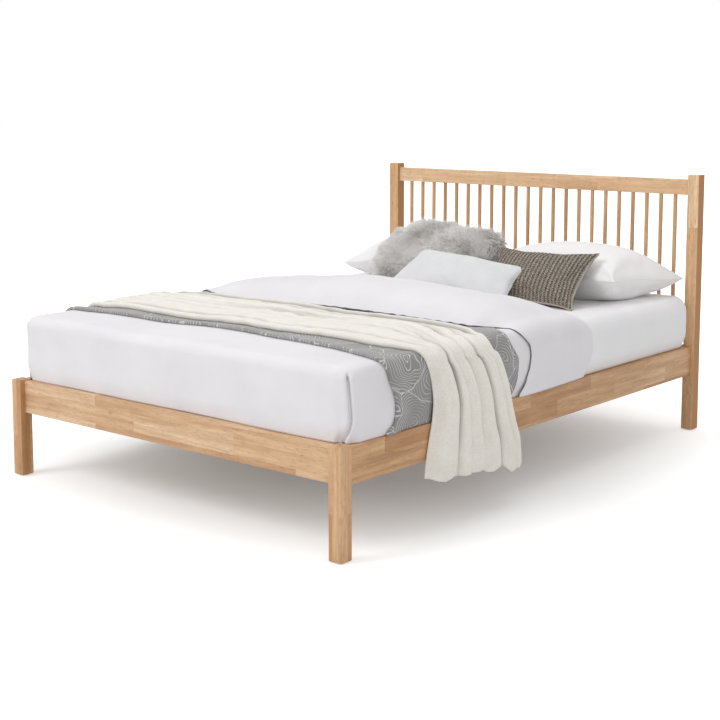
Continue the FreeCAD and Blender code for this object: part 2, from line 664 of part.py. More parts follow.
def throw_stations(side):
    """Sections from the hem up to the middle of the bed. side is 1 at the right and -1 at the left."""
    arris = MATTRESS_ARRIS + RUNNER_OUTSIDE
    turn = 90.0 / 4  # degrees from one section to the next round the shoulder
    base = (arris + SOFT_GAP) / math.cos(math.radians(turn / 2)) + SOFT_GAP
    centre_x = SWELL_HALF + RUNNER_OUTSIDE - arris
    centre_z = MATTRESS_TOP + DUVET_LOFT + RUNNER_OUTSIDE - arris
    back = TURN_FRONT - THROW_TO_TURN
    front = back - THROW_SPREAD
    hang_x = RAIL_OUTER + SOFT_GAP
    hem = RAIL_TOP - THROW_DROP
    gather = THROW_GATHER if side > 0 else THROW_GATHER_LEFT
    stations = []

    def add(x, z, angle, pull, flare, swell, drop=0.0):
        at = V(side * x, 0, z)
        out_angle = angle if side > 0 else 180 - angle
        stations.append((at, out_angle, front + gather * pull, back + THROW_FLARE * flare, swell, drop))

    add(hang_x, hem, 0, 0.3, 1.0, THROW_SWELL, -THROW_HEM_RISE * side)
    add(hang_x, hem + THROW_DROP / 2, 0, 0.65, 0.8, THROW_SWELL)
    add(hang_x, RAIL_TOP - MATTRESS_ARRIS, 0, 1.0, 0.55, 0.8 * THROW_SWELL)
    add(hang_x, RAIL_TOP + MATTRESS_ARRIS, 0, 1.04, 0.4, 0.75 * THROW_SWELL)
    add(centre_x + base, (RAIL_TOP + centre_z) / 2, 0, 1.0, 0.0, 0.65 * THROW_SWELL)
    for i in range(5):
        angle = turn * i
        x = centre_x + base * math.cos(math.radians(angle))
        z = centre_z + base * math.sin(math.radians(angle))
        swell = 0.6 * THROW_SWELL + (THROW_TOP_SWELL - 0.6 * THROW_SWELL) * i / 4
        add(x, z, angle, 0.92 - 0.18 * i, -0.5, swell)
    add(MATTRESS_HALF * 0.75, centre_z + base, 90, 0.0, -0.2, THROW_TOP_SWELL)
    add(MATTRESS_HALF * 0.4, centre_z + base, 90, 0.0, 0.0, THROW_TOP_SWELL)
    return stations


def throw():
    stations = throw_stations(1)
    stations += reversed(throw_stations(-1))
    return Part.makeLoft([throw_section(*station) for station in stations], True, True)


# Pillows and cushions

def seam_ring(half_x, half_y, side_x, side_y, z):
    """Four arcs through the corners and through the middle of each side."""
    corners = [V(half_x, -half_y, z), V(half_x, half_y, z), V(-half_x, half_y, z), V(-half_x, -half_y, z)]
    middles = [V(side_x, 0, z), V(0, side_y, z), V(-side_x, 0, z), V(0, -side_y, z)]
    return Part.Wire([Part.Arc(corners[i], middles[i], corners[(i + 1) % 4]).toShape() for i in range(4)])


def cushion(length, width, thickness, draw):
    """A crowned form with pointed corners, whose seams draw in between them. It lies flat on the origin."""
    halves = []
    for way in (-1, 1):
        rings = []
        for level in (0.0, 0.2, 0.45, 0.7, 0.9, 1.0):
            # the corners come in steadily from seam to crown, the sides swell first and come in late
            corner = 0.2 + 0.8 * (1 - level ** 1.15) ** 0.6
            side = 0.26 + 0.74 * (1 - level ** 2.6) ** 0.5
            rings.append(seam_ring(
                length / 2 * corner, width / 2 * corner,
                (length / 2 - draw) * side, (width / 2 - draw) * side,
                way * thickness / 2 * level,
            ))
        halves.append(Part.makeLoft(rings, True, False))
    return halves[0].fuse(halves[1])


def pillow(side, gap=0.0):
    size = [extent + 2 * gap for extent in (PILLOW_LENGTH, PILLOW_WIDTH, PILLOW_THICKNESS)]
    shape = cushion(*size, PILLOW_DRAW)
    x = PILLOW_RIGHT if side > 0 else -PILLOW_LEFT
    z = BED_TOP + PILLOW_THICKNESS * (0.5 - CUSHION_SINK)
    return shape.translated(V(x, MATTRESS_HEAD - PILLOW_FROM_HEAD, z))


def over_bed(shape):
    """Flattens what lies on the bed."""
    return shape.cut(box(-FAR, FAR, -FAR, FAR, -FAR, BED_TOP + SOFT_GAP))


def leaning(shape, width, stance):
    """Stands a cushion on its lower seam and leans it back."""
    lean, roll, turn, across, from_pillows, rise = stance
    shape.rotate(V(0, 0, 0), V(0, 0, 1), roll)
    shape.rotate(V(0, 0, 0), V(1, 0, 0), lean)
    shape.rotate(V(0, 0, 0), V(0, 0, 1), turn)
    angle = math.radians(lean)
    y = PILLOW_FRONT - from_pillows + width / 2 * math.cos(angle)
    return shape.translated(V(across, y, BED_TOP + rise + width / 2 * math.sin(angle)))


def fur_cushion(gap=0.0):
    shape = cushion(FUR_LENGTH + 2 * gap, FUR_WIDTH + 2 * gap, FUR_THICKNESS + 2 * gap, FUR_DRAW)
    stance = (FUR_LEAN, FUR_ROLL, FUR_TURN, FUR_ACROSS, FUR_FROM_PILLOWS, FUR_RISE)
    return leaning(shape, FUR_WIDTH, stance)


def knit_cushion(gap=0.0):
    shape = cushion(KNIT_LENGTH + 2 * gap, KNIT_WIDTH + 2 * gap, KNIT_THICKNESS + 2 * gap, CUSHION_DRAW)
    stance = (KNIT_LEAN, KNIT_ROLL, KNIT_TURN, KNIT_ACROSS, KNIT_FROM_PILLOWS, KNIT_RISE)
    return leaning(shape, KNIT_WIDTH, stance)


def pale_cushion(gap=0.0):
    shape = cushion(PALE_LENGTH + 2 * gap, PALE_WIDTH + 2 * gap, PALE_THICKNESS + 2 * gap, CUSHION_DRAW)
    stance = (PALE_LEAN, PALE_ROLL, PALE_TURN, PALE_ACROSS, PALE_FROM_PILLOWS, PALE_RISE)
    return leaning(shape, PALE_WIDTH, stance)


def build():
    os.makedirs("parts", exist_ok=True)

    foot = foot_post().cut([tenon(*FOOT_RAIL_AT, GLUE_GAP), stud(-1, GLUE_GAP / 2)] + dowels(-1, GLUE_GAP))
    mortises = [tenon(*LOWER_RAIL_AT, GLUE_GAP), tenon(*TOP_RAIL_AT, GLUE_GAP)]
    head = head_post().cut(mortises + [stud(1, GLUE_GAP / 2)] + dowels(1, GLUE_GAP))
    write("foot_post_right", foot)
    write("foot_post_left", mirrored(foot))
    write("head_post_right", head)
    write("head_post_left", mirrored(head))

    foot_rail = tenoned_rail(*FOOT_RAIL_AT).cut(hanger_screws(FOOT_RAIL_BACK, 1, GLUE_GAP / 2))
    lower_rail = tenoned_rail(*LOWER_RAIL_AT).cut(spindle_seats(RAIL_TOP - SPINDLE_SEAT, RAIL_TOP + 1))
    lower_rail = lower_rail.cut(hanger_screws(HEAD_RAIL_FRONT, -1, GLUE_GAP / 2))
    top_seats = spindle_seats(TOP_RAIL_UNDERSIDE - 1, TOP_RAIL_UNDERSIDE + SPINDLE_SEAT)
    write("foot_rail", foot_rail)
    write("headboard_lower_rail", lower_rail)
    write("headboard_top_rail", tenoned_rail(*TOP_RAIL_AT).cut(top_seats))
    for number, x in enumerate(spindle_places(), 1):
        write("spindle_%02d" % number, spindle(x))

    right_rail = side_rail()
    write("side_rail_right", right_rail)
    write("side_rail_left", mirrored(right_rail))

    right_ledger = ledger()
    write("ledger_right", right_ledger)
    write("ledger_left", mirrored(right_ledger))
    write("slats", *slats())
    write("centre_rail", centre_rail())
    write("centre_rail_hangers", hanger_at(FOOT_RAIL_BACK, 1), hanger_at(HEAD_RAIL_FRONT, -1))
    write("centre_leg", centre_leg())
    write("centre_leg_pin", leg_dowel())
    write("glides", *glides())

    def both_sides(solids):
        return solids + [mirrored(solid) for solid in solids]

    write("rail_studs", *both_sides([stud(-1), stud(1)]))
    write("rail_nuts", *both_sides([nut(-1), nut(1)]))
    write("half_moon_washers", *both_sides([half_moon(-1), half_moon(1)]))
    write("rail_dowels", *both_sides(dowels(-1) + dowels(1)))
    write("slat_screws", *both_sides([screw(*place) for place in slat_screw_places()]))
    write("ledger_screws", *both_sides([screw(*place) for place in ledger_screw_places()]))
    write("hanger_screws", *(hanger_screws(FOOT_RAIL_BACK, 1) + hanger_screws(HEAD_RAIL_FRONT, -1)))

    write("mattress", grown_mattress(0))
    write("fitted_sheet", fitted_sheet())
    bed_cover = duvet()
    write("duvet", bed_cover)
    write("bed_runner", bed_runner())
    write("throw", throw())

    write("pillow_right", over_bed(pillow(1)))
    write("pillow_left", over_bed(pillow(-1)))
    pillows = [pillow(1, SOFT_GAP), pillow(-1, SOFT_GAP)]
    fur = over_bed(fur_cushion()).cut(pillows)
    knit = over_bed(knit_cushion()).cut(pillows + [fur_cushion(SOFT_GAP)])
    pale = over_bed(pale_cushion()).cut([fur_cushion(SOFT_GAP), knit_cushion(SOFT_GAP), bed_cover])
    write("fur_cushion", fur)
    write("knit_cushion", knit)
    write("pale_cushion", pale)


build()
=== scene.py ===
import math
import bpy
import numpy as np
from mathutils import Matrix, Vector
from mathutils.bvhtree import BVHTree


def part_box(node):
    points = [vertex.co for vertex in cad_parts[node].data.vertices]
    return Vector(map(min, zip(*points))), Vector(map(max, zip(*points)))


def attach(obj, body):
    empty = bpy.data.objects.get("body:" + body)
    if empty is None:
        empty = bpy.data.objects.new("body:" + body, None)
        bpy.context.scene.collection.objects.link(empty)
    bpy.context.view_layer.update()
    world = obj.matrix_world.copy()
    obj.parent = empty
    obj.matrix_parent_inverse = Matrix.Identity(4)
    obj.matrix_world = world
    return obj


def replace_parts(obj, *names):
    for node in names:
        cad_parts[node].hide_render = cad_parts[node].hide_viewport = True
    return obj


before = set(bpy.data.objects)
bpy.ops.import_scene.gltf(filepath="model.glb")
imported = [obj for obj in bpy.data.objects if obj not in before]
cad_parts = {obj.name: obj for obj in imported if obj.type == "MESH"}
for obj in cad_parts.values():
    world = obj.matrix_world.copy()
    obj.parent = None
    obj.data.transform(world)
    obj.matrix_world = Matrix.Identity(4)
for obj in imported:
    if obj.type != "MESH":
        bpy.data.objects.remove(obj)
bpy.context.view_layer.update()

BODY = "root"

# ---------------------------------------------------------------- camera, as fitted to the photo

PHOTO_SIDE = 720.0
FOCAL_PX = 1412.64
# the row of the photo that the lens looks straight at
AXIS_ROW = 270.0
SENSOR = 36.0
CAMERA_AT = (3.0614, -3.7419, 1.2383)
CAMERA_DOWN = 0.1243
CAMERA_TURN = 0.6975
lens = bpy.data.cameras.new("camera")
lens.sensor_width = SENSOR
lens.lens = FOCAL_PX / PHOTO_SIDE * SENSOR
lens.shift_y = (AXIS_ROW - PHOTO_SIDE / 2) / PHOTO_SIDE
camera = bpy.data.objects.new("camera", lens)
camera.location = CAMERA_AT
camera.rotation_euler = (math.pi / 2 - CAMERA_DOWN, 0.0, CAMERA_TURN)
bpy.context.collection.objects.link(camera)
bpy.context.scene.camera = camera

# ---------------------------------------------------------------- sizes that the bedding follows

(_, BED_FOOT, BED_LOW), (_, BED_HEAD, BED_TOP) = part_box("mattress")
(_, SHEET_FOOT, _), (SHEET_HALF, SHEET_HEAD, SHEET_TOP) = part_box("fitted_sheet")
DUVET_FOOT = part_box("duvet")[0][1]
(RAIL_IN, _, _), (_, _, RAIL_TOP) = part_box("side_rail_right")
HEM = RAIL_TOP + 0.0008
DUVET_HALF = 0.7005
DUVET_TOP = 0.5221
DUVET_CORNER = 0.060
DUVET_ARRIS = 0.034
# where the front and the head edge of the turned-back duvet lie on top of the bed
TURN_FRONT = -0.232
TURN_HEAD = 0.188
SHEET_THICK = 0.0012
DUVET_THICK = 0.008
RUNNER_THICK = 0.0014
THROW_THICK = 0.0030
# width of a knitted column and height of a stitch
COLUMN = 0.0152
STITCH = 0.0105

# ---------------------------------------------------------------- numbers to shapes


def smooth(x, low, high):
    """A soft step from 0 at "low" to 1 at "high". It falls where "high" is the smaller one."""
    t = np.clip((np.asarray(x, float) - low) / (high - low), 0, 1)
    return t * t * (3 - 2 * t)


def bell(x, middle, width):
    """A soft bump of height 1 round "middle"."""
    return np.exp(-((x - middle) / width) ** 2)


def blend(a, b, share):
    """Goes from "a" to "b" as "share" goes from 0 to 1."""
    return a * (1 - share) + b * share


def spots(x, y=0.0, z=0.0):
    """Points from their coordinates, each of which may be one number or a grid of them."""
    return np.stack(np.broadcast_arrays(x, y, z), -1)


def table(x, *pairs):
    """A smooth curve through pairs of (x, y) that doesn't overshoot them and is level beyond its ends."""
    xs, ys = np.array(pairs, float).T
    step = np.diff(xs)
    slope = np.diff(ys) / step
    tangent = np.zeros(len(xs))
    for i in range(1, len(xs) - 1):
        if slope[i - 1] * slope[i] > 0:
            a, b = 2 * step[i] + step[i - 1], step[i] + 2 * step[i - 1]
            tangent[i] = (a + b) / (a / slope[i - 1] + b / slope[i])
    x = np.clip(np.asarray(x, float), xs[0], xs[-1])
    i = np.clip(np.searchsorted(xs, x, side="right") - 1, 0, len(xs) - 2)
    t = (x - xs[i]) / step[i]
    start = (1 + 2 * t) * (1 - t) ** 2 * ys[i] + t * (1 - t) ** 2 * step[i] * tangent[i]
    return start + t * t * (3 - 2 * t) * ys[i + 1] + t * t * (t - 1) * step[i] * tangent[i + 1]


def ripples(points, seed, size, count=7, stretch=(1, 1, 1)):
    """A smooth field between about -1 and 1 whose bumps are "size" across."""
    rng = np.random.RandomState(seed)
    points = np.asarray(points, float) / np.array(stretch)
    total = np.zeros(points.shape[:-1])
    for _ in range(count):
        way = rng.normal(size=3)
        way /= np.linalg.norm(way)
        wave = 2 * math.pi / (size * rng.uniform(0.7, 1.6))
        total += np.sin(points @ way * wave + rng.uniform(0, 2 * math.pi))
    return total / math.sqrt(count)


def read(items, key, width, kind=float):
    """One property of all points, edges or face corners of a mesh, as rows of "width" numbers."""
    out = np.zeros(len(items) * width, kind)
    items.foreach_get(key, out)
    return out.reshape(-1, width)


def corner_points(mesh):
    """The number of the point at each face corner."""
    return read(mesh.loops, "vertex_index", 1, int)[:, 0]


def shade_smooth(mesh):
    mesh.polygons.foreach_set("use_smooth", [True] * len(mesh.polygons))


def make(name, verts, faces, uv=None):
    """A new piece. Points and their UV may come as grids."""
    mesh = bpy.data.meshes.new(name)
    mesh.from_pydata(np.reshape(verts, (-1, 3)).tolist(), [], faces)
    mesh.update()
    shade_smooth(mesh)
    if uv is not None:
        layer = mesh.uv_layers.new(name="UVMap")
        layer.data.foreach_set("uv", np.reshape(uv, (-1, 2))[corner_points(mesh)].ravel())
    piece = bpy.data.objects.new(name, mesh)
    bpy.context.collection.objects.link(piece)
    return piece


def grid_faces(nu, nv, start=0, flip=False, close_v=False):
    """Faces between the points of a grid, which "close_v" joins to a tube."""
    faces = []
    for i in range(nu - 1):
        for j in range(nv if close_v else nv - 1):
            a, d = start + i * nv + j, start + i * nv + (j + 1) % nv
            b, c = a + nv, d + nv
            faces.append((a, d, c, b) if flip else (a, b, c, d))
    return faces


def points_of(piece):
    return read(piece.data.vertices, "co", 3)


def normals_of(piece):
    return read(piece.data.vertices, "normal", 3)


def set_points(piece, pts):
    piece.data.vertices.foreach_set("co", np.asarray(pts, float).ravel())
    piece.data.update()


def push(piece, amount):
    """Moves each point along its normal."""
    set_points(piece, points_of(piece) + normals_of(piece) * np.asarray(amount, float)[:, None])


def tree_of(piece):
    return BVHTree.FromObject(piece, bpy.context.evaluated_depsgraph_get())


def settle(piece):
    """Applies a piece's modifiers."""
    graph = bpy.context.evaluated_depsgraph_get()
    graph.update()
    mesh = bpy.data.meshes.new_from_object(piece.evaluated_get(graph), depsgraph=graph)
    piece.modifiers.clear()
    old = piece.data
    piece.data = mesh
    bpy.data.meshes.remove(old)
    shade_smooth(mesh)


def subdivide(piece, levels):
    mod = piece.modifiers.new("smooth", "SUBSURF")
    mod.levels = mod.render_levels = levels
    settle(piece)


def thicken(piece, thickness):
    """Gives a surface its thickness to the inside."""
    mod = piece.modifiers.new("thick", "SOLIDIFY")
    mod.thickness = thickness
    mod.offset = -1.0
    settle(piece)


def tube(path, radius, sides=8, closed=False):
    """Points and faces of a thin tube along a path."""
    path = np.asarray(path, float)
    n = len(path)
    ahead = np.roll(path, -1, 0) - np.roll(path, 1, 0)
    if not closed:
        ahead[0], ahead[-1] = path[1] - path[0], path[-1] - path[-2]
    ahead /= np.linalg.norm(ahead, axis=1)[:, None]
    up = np.array([0.31, 0.17, 0.93])
    side = np.cross(ahead, up)
    side /= np.linalg.norm(side, axis=1)[:, None]
    other = np.cross(ahead, side)
    turns = np.linspace(0, 2 * math.pi, sides, endpoint=False)
    radius = np.broadcast_to(np.asarray(radius, float), (n,))[:, None, None]
    ring = path[:, None] + radius * (
        side[:, None] * np.cos(turns)[None, :, None] + other[:, None] * np.sin(turns)[None, :, None]
    )
    verts = ring.reshape(-1, 3)
    faces = grid_faces(n, sides, close_v=True)
    if closed:
        for j in range(sides):
            k = (j + 1) % sides
            faces.append(((n - 1) * sides + j, j, k, (n - 1) * sides + k))
    else:
        faces.append(tuple(range(sides)))
        faces.append(tuple(range((n - 1) * sides, n * sides))[::-1])
    return verts, faces


def steps(*stops):
    """Values along a line: pairs of (end, spacing) after a start."""
    at = stops[0]
    out = [at]
    for end, gap in stops[1:]:
        count = max(1, int(round((end - at) / gap)))
        out += [at + (end - at) * (i + 1) / count for i in range(count)]
        at = end
    return out


# ---------------------------------------------------------------- rounded covers of the mattress


def box_shell(xs, ys, zs, head_wall, floor):
    """The outer points of a box as a grid: top and side walls, with or without head wall and floor."""
    index, verts, faces = {}, [], []

    def at(x, y, z):
        key = (round(x, 5), round(y, 5), round(z, 5))
        if key not in index:
            index[key] = len(verts)
            verts.append(key)
        return index[key]

    def sheet(us, vs, place, flip):
        for i in range(len(us) - 1):
            for j in range(len(vs) - 1):
                quad = [
                    at(*place(us[i], vs[j])), at(*place(us[i + 1], vs[j])),
                    at(*place(us[i + 1], vs[j + 1])), at(*place(us[i], vs[j + 1])),
                ]
                faces.append(tuple(quad[::-1] if flip else quad))

    sheet(xs, ys, lambda x, y: (x, y, zs[-1]), False)
    sheet(ys, zs, lambda y, z: (xs[-1], y, z), False)
    sheet(ys, zs, lambda y, z: (xs[0], y, z), True)
    sheet(xs, zs, lambda x, z: (x, ys[0], z), False)
    if head_wall:
        sheet(xs, zs, lambda x, z: (x, ys[-1], z), True)
    if floor:
        sheet(xs, ys, lambda x, y: (x, y, zs[0]), True)
    return np.array(verts), faces


def round_shell(p, corner, arris, head_wall, floor):
    """Rounds a box's upright edges by "corner" and its top, and floor, edges by "arris"."""
    p = p.copy()
    half, y0, y1, z0, z1 = p[:, 0].max(), p[:, 1].min(), p[:, 1].max(), p[:, 2].min(), p[:, 2].max()
    side = np.where(p[:, 0] < 0, -1.0, 1.0)
    x, y, z = np.abs(p[:, 0]), p[:, 1], p[:, 2]
    inset = np.minimum(half - x, y - y0)
    dir_x = np.where(half - x <= y - y0, 1.0, 0.0)
    dir_y = np.where(half - x <= y - y0, 0.0, -1.0)
    if head_wall:
        near = y1 - y < inset
        inset = np.where(near, y1 - y, inset)
        dir_x, dir_y = np.where(near, 0.0, dir_x), np.where(near, 1.0, dir_y)
    for way, edge in ((-1, y0), (1, y1)) if head_wall else ((-1, y0),):
        dx, dy = x - (half - corner), way * (y - edge) + corner
        zone = (dx > 0) & (dy > 0)
        length = np.maximum(np.hypot(dx, dy), 1e-9)
        shrink = np.where(zone, np.maximum(dx, dy) / length, 1.0)
        x = np.where(zone, half - corner + dx * shrink, x)
        y = np.where(zone, edge + way * (dy * shrink - corner), y)
        inset = np.where(zone, corner - length * shrink, inset)
        dir_x, dir_y = np.where(zone, dx / length, dir_x), np.where(zone, way * dy / length, dir_y)
    for rim in (1, -1) if floor else (1,):
        level = z1 - arris if rim > 0 else z0 + arris
        e0, e1 = arris - inset, rim * (z - level)
        zone = (e0 > 0) & (e1 > 0)
        shrink = np.where(zone, np.maximum(e0, e1) / np.maximum(np.hypot(e0, e1), 1e-9), 1.0)
        x = x + np.where(zone, dir_x * e0 * (shrink - 1), 0)
        y = y + np.where(zone, dir_y * e0 * (shrink - 1), 0)
        z = np.where(zone, level + rim * e1 * shrink, z)
    return np.stack([side * x, y, z], 1)


# ---------------------------------------------------------------- sections across the bed


def wrap(u, half, top, radius):
    """Where a line across the bed lies after "u" metres from its middle, and which way is out."""
    a, s = np.abs(u), np.where(np.asarray(u) < 0, -1.0, 1.0)
    flat = half - radius
    arc = radius * math.pi / 2
    turn = np.clip((a - flat) / radius, 0, math.pi / 2)
    x = np.where(a < flat, a, flat + radius * np.sin(turn))
    z = top - radius + radius * np.cos(turn) - np.maximum(a - flat - arc, 0)
    return s * x, z, s * np.sin(turn), np.cos(turn)


def reach(half, top, radius, hem):
    """Metres from the middle of the bed to a hem at height "hem"."""
    return half - radius + radius * math.pi / 2 + top - radius - hem


# ---------------------------------------------------------------- materials


def srgb(r, g, b):
    def linear(c):
        c /= 255.0
        return c / 12.92 if c <= 0.04045 else ((c + 0.055) / 1.055) ** 2.4
    return (linear(r), linear(g), linear(b), 1.0)


class Nodes:
    """Makes the nodes of a material or of the world."""

    def __init__(self, owner):
        owner.use_nodes = True
        self.owner = owner
        self.tree = owner.node_tree

    def put(self, value, socket):
        """Links what comes from another node, or else writes the value."""
        if isinstance(value, bpy.types.NodeSocket):
            self.tree.links.new(value, socket)
        else:
            socket.default_value = value

    def node(self, kind, **values):
        """A new node with its inputs and settings."""
        n = self.tree.nodes.new("ShaderNode" + kind)
        for key, value in values.items():
            name = key.replace("_", " ")
            if name in n.inputs:
                self.put(value, n.inputs[name])
            else:
                setattr(n, key, value)
        return n

    def coord(self, kind="Object"):
        return self.node("TexCoord").outputs[kind]

    def math(self, operation, *values):
        n = self.node("Math", operation=operation)
        for value, socket in zip(values, n.inputs):
            self.put(value, socket)
        return n.outputs[0]

    def times(self, value, factor, plus=0.0):
        return self.math("MULTIPLY_ADD", value, factor, plus)

    def vector(self, x, y, z=0.0):
        return self.node("CombineXYZ", X=x, Y=y, Z=z).outputs[0]

    def split(self, vector):
        return self.node("SeparateXYZ", Vector=vector).outputs

    def noise(self, vector, scale, detail=2.0, rough=0.5, distort=0.0):
        n = self.node(
            "TexNoise", Vector=vector, Scale=scale, Detail=detail, Roughness=rough, Distortion=distort
        )
        return n.outputs["Fac"]

    def ramp(self, fac, *stops):
        """A curve through stops of (place, colour or grey value)."""
        n = self.node("ValToRGB", Fac=fac)
        band = n.color_ramp
        while len(band.elements) < len(stops):
            band.elements.new(0.5)
        for element, (at, color) in zip(band.elements, stops):
            element.position = at
            element.color = color if hasattr(color, "__len__") else (color, color, color, 1.0)
        return n.outputs[0]

    def mix(self, share, a, b):
        """Colour "a" with a share of "b"."""
        n = self.node("Mix", data_type="RGBA")
        for i, value in ((0, share), (6, a), (7, b)):
            self.put(value, n.inputs[i])
        return n.outputs[2]

    def bump(self, height, strength, distance):
        return self.node("Bump", Height=height, Strength=strength, Distance=distance).outputs[0]

    def finish(self, color, roughness, **sockets):
        """Gives the material's shader what it needs."""
        shader = self.tree.nodes["Principled BSDF"]
        for key, value in dict(Base_Color=color, Roughness=roughness, **sockets).items():
            self.put(value, shader.inputs[key.replace("_", " ")])
        return self.owner


def new_material(name):
    return Nodes(bpy.data.materials.new(name))


def wood(name, grain, tones, stave, stave_length, seed=0.0, painted_right_shade=0.0, gloss=0.42):
    """Finger-jointed light hardwood whose staves and grain run along one axis. Faces to +X can get painted
    shade.
    """
    n = new_material(name)
    axes = n.split(n.coord())
    along = "xyz".index(grain)
    first, second = [axes[i] for i in range(3) if i != along]
    row = n.times(first, 0.61, second)
    shifted = n.math("ADD", axes[along], seed)
    staves = n.node(
        "TexBrick", Vector=n.vector(shifted, row), Scale=1.0, offset=0.43,
        Color1=(0, 0, 0, 1), Color2=(1, 1, 1, 1), Mortar=(0.5, 0.5, 0.5, 1), Mortar_Size=0.0,
        Brick_Width=stave_length, Row_Height=stave,
    )
    tone = staves.outputs["Color"]
    own = n.times(tone, 7.3)

    def stretched(lengthwise, crosswise):
        """Places drawn out along the grain, shifted in each stave by its own amount."""
        across = [n.times(axis, crosswise, own) for axis in (first, second)]
        return n.vector(n.times(shifted, lengthwise), *across)

    streak = n.noise(stretched(3.0, 55.0), 1.0, 5.0, 0.62, 0.4)
    ring = n.noise(stretched(5.0, 22.0), 1.0, 3.0, 0.5, 1.6)
    ring = n.math("PINGPONG", n.times(ring, 9.0), 1.0)
    fleck = n.ramp(n.noise(stretched(42.0, 430.0), 1.0, 1.0), (0.60, 0.0), (0.72, 1.0))
    patch = n.noise(n.vector(n.times(shifted, 6.0), row, own), 1.0)
    light, middle, dark, deep = [srgb(*t) for t in tones]
    color = n.ramp(tone, (0.0, light), (0.55, middle), (1.0, dark))
    color = n.mix(n.ramp(streak, (0.34, 0.0), (0.70, 0.70)), color, deep)
    color = n.mix(n.times(n.ramp(ring, (0.55, 0.0), (1.0, 1.0)), 0.20), color, deep)
    color = n.mix(n.times(n.ramp(patch, (0.45, 0.0), (0.75, 1.0)), 0.25), color, light)
    color = n.mix(n.times(fleck, 0.42), color, srgb(128, 86, 54))
    # painted shade on the faces to +X, which turn away from the key lamp
    if painted_right_shade:
        right_shade_mask = n.ramp(n.split(n.coord("Normal"))[0], (0.55, 0.0), (0.95, painted_right_shade))
        color = n.mix(right_shade_mask, color, deep)
    pores = n.bump(n.times(fleck, -0.6, streak), 0.12, 0.0006)
    return n.finish(color, n.times(streak, 0.16, 0.36), Specular_IOR_Level=gloss, Normal=pores)


def cotton(name, tint, shade):
    """Smooth woven cotton with a faint slub."""
    n = new_material(name)
    at = n.coord()
    cloudy = n.noise(at, 5.0, 3.0, 0.55)
    color = n.mix(n.ramp(cloudy, (0.35, 0.0), (0.7, 1.0)), srgb(*tint), srgb(*shade))
    threads = n.noise(at, 900.0, 1.0, 0.6)
    slub = n.noise(at, 140.0, 3.0, 0.6)
    weave = n.bump(n.times(slub, 0.6, threads), 0.10, 0.0006)
    return n.finish(
        color, 0.78, Sheen_Weight=0.18, Sheen_Roughness=0.5, Specular_IOR_Level=0.25, Normal=weave
    )


def steel():
    n = new_material("zinc_steel")
    at = n.coord()
    cloudy = n.noise(at, 160.0, 3.0, 0.6)
    color = n.ramp(cloudy, (0.3, srgb(176, 178, 180)), (0.7, srgb(204, 205, 206)))
    grain = n.bump(n.noise(at, 1200.0, 2.0, 0.6), 0.08, 0.0004)
    return n.finish(color, n.times(cloudy, 0.2, 0.28), Metallic=1.0, Normal=grain)


def plastic():
    n = new_material("glide_plastic")
    grain = n.noise(n.coord(), 1500.0, 2.0, 0.6)
    color = n.ramp(grain, (0.3, srgb(82, 78, 74)), (0.7, srgb(92, 88, 83)))
    return n.finish(color, 0.55, Normal=n.bump(grain, 0.15, 0.0003))


def ticking():
    """Mattress cloth with a faint pattern of diamonds."""
    n = new_material("ticking")
    at = n.coord()
    x, y, _ = n.split(at)
    waves = [n.math("SINE", n.times(n.math(way, x, y), 90.0)) for way in ("ADD", "SUBTRACT")]
    diamond = n.math("ADD", *waves)
    color = n.mix(n.ramp(diamond, (0.1, 0.0), (0.9, 0.35)), srgb(228, 227, 224), srgb(202, 203, 206))
    weave = n.bump(n.noise(at, 700.0, 2.0, 0.6), 0.2, 0.0005)
    return n.finish(color, 0.85, Sheen_Weight=0.15, Normal=weave)


def runner_weave():
    """Grey weave with pale contour lines round scattered centres."""
    n = new_material("runner_weave")
    flat = n.coord("UV")
    u, v, _ = n.split(flat)
    wobble = n.noise(flat, 14.0, 1.0, 0.5)
    cell_at = n.vector(n.times(wobble, 0.05, u), n.times(wobble, 0.04, n.times(v, 0.72)))
    from_centre, from_border = [
        n.node(
            "TexVoronoi", voronoi_dimensions="2D", feature=feature, Vector=cell_at, Scale=8.0, Randomness=0.9
        ).outputs["Distance"]
        for feature in ("F1", "DISTANCE_TO_EDGE")
    ]
    rings = n.math("SINE", n.times(n.times(wobble, 0.25, from_centre), 92.0))
    fine = n.ramp(rings, (0.70, 0.0), (0.95, 1.0))
    seam = n.ramp(from_border, (0.005, 1.0), (0.014, 0.0))
    broken = n.ramp(n.noise(flat, 9.0, 2.0, 0.6), (0.36, 0.25), (0.58, 1.0))
    lines = n.times(n.math("MULTIPLY", fine, broken), 0.85, n.times(seam, 0.7))
    lines = n.math("MINIMUM", lines, 1.0)
    thread = n.noise(n.vector(n.times(u, 240.0), n.times(v, 1400.0)), 1.0, 2.0, 0.6)
    ground = n.ramp(thread, (0.3, srgb(136, 134, 133)), (0.7, srgb(154, 152, 151)))
    color = n.mix(lines, ground, srgb(222, 220, 217))
    relief = n.bump(n.times(lines, 0.8, thread), 0.25, 0.0008)
    return n.finish(color, 0.8, Sheen_Weight=0.2, Specular_IOR_Level=0.25, Normal=relief)


def fleece(name, light, dark, scale, strength, valley_shade=0.0):
    """Brushed cloth. It can paint shade into the valleys of its folds, where the value kept in UV is low."""
    n = new_material(name)
    at = n.coord()
    tufts = n.noise(at, scale, 4.0, 0.65, 0.6)
    wide = n.noise(at, 22.0, 2.0, 0.5)
    color = n.ramp(n.times(wide, 0.3, n.times(tufts, 0.7)), (0.35, srgb(*dark)), (0.62, srgb(*light)))
    # painted shade: darker towards the fold valleys by the value kept in UV
    if valley_shade:
        low = n.ramp(n.split(n.coord("UV"))[1], (0.0, valley_shade), (0.9, 0.0))
        color = n.mix(low, color, srgb(140, 131, 118))
    nap = n.bump(tufts, strength, 0.003)
    return n.finish(color, 0.95, Sheen_Weight=0.45, Sheen_Roughness=0.6, Specular_IOR_Level=0.1, Normal=nap)


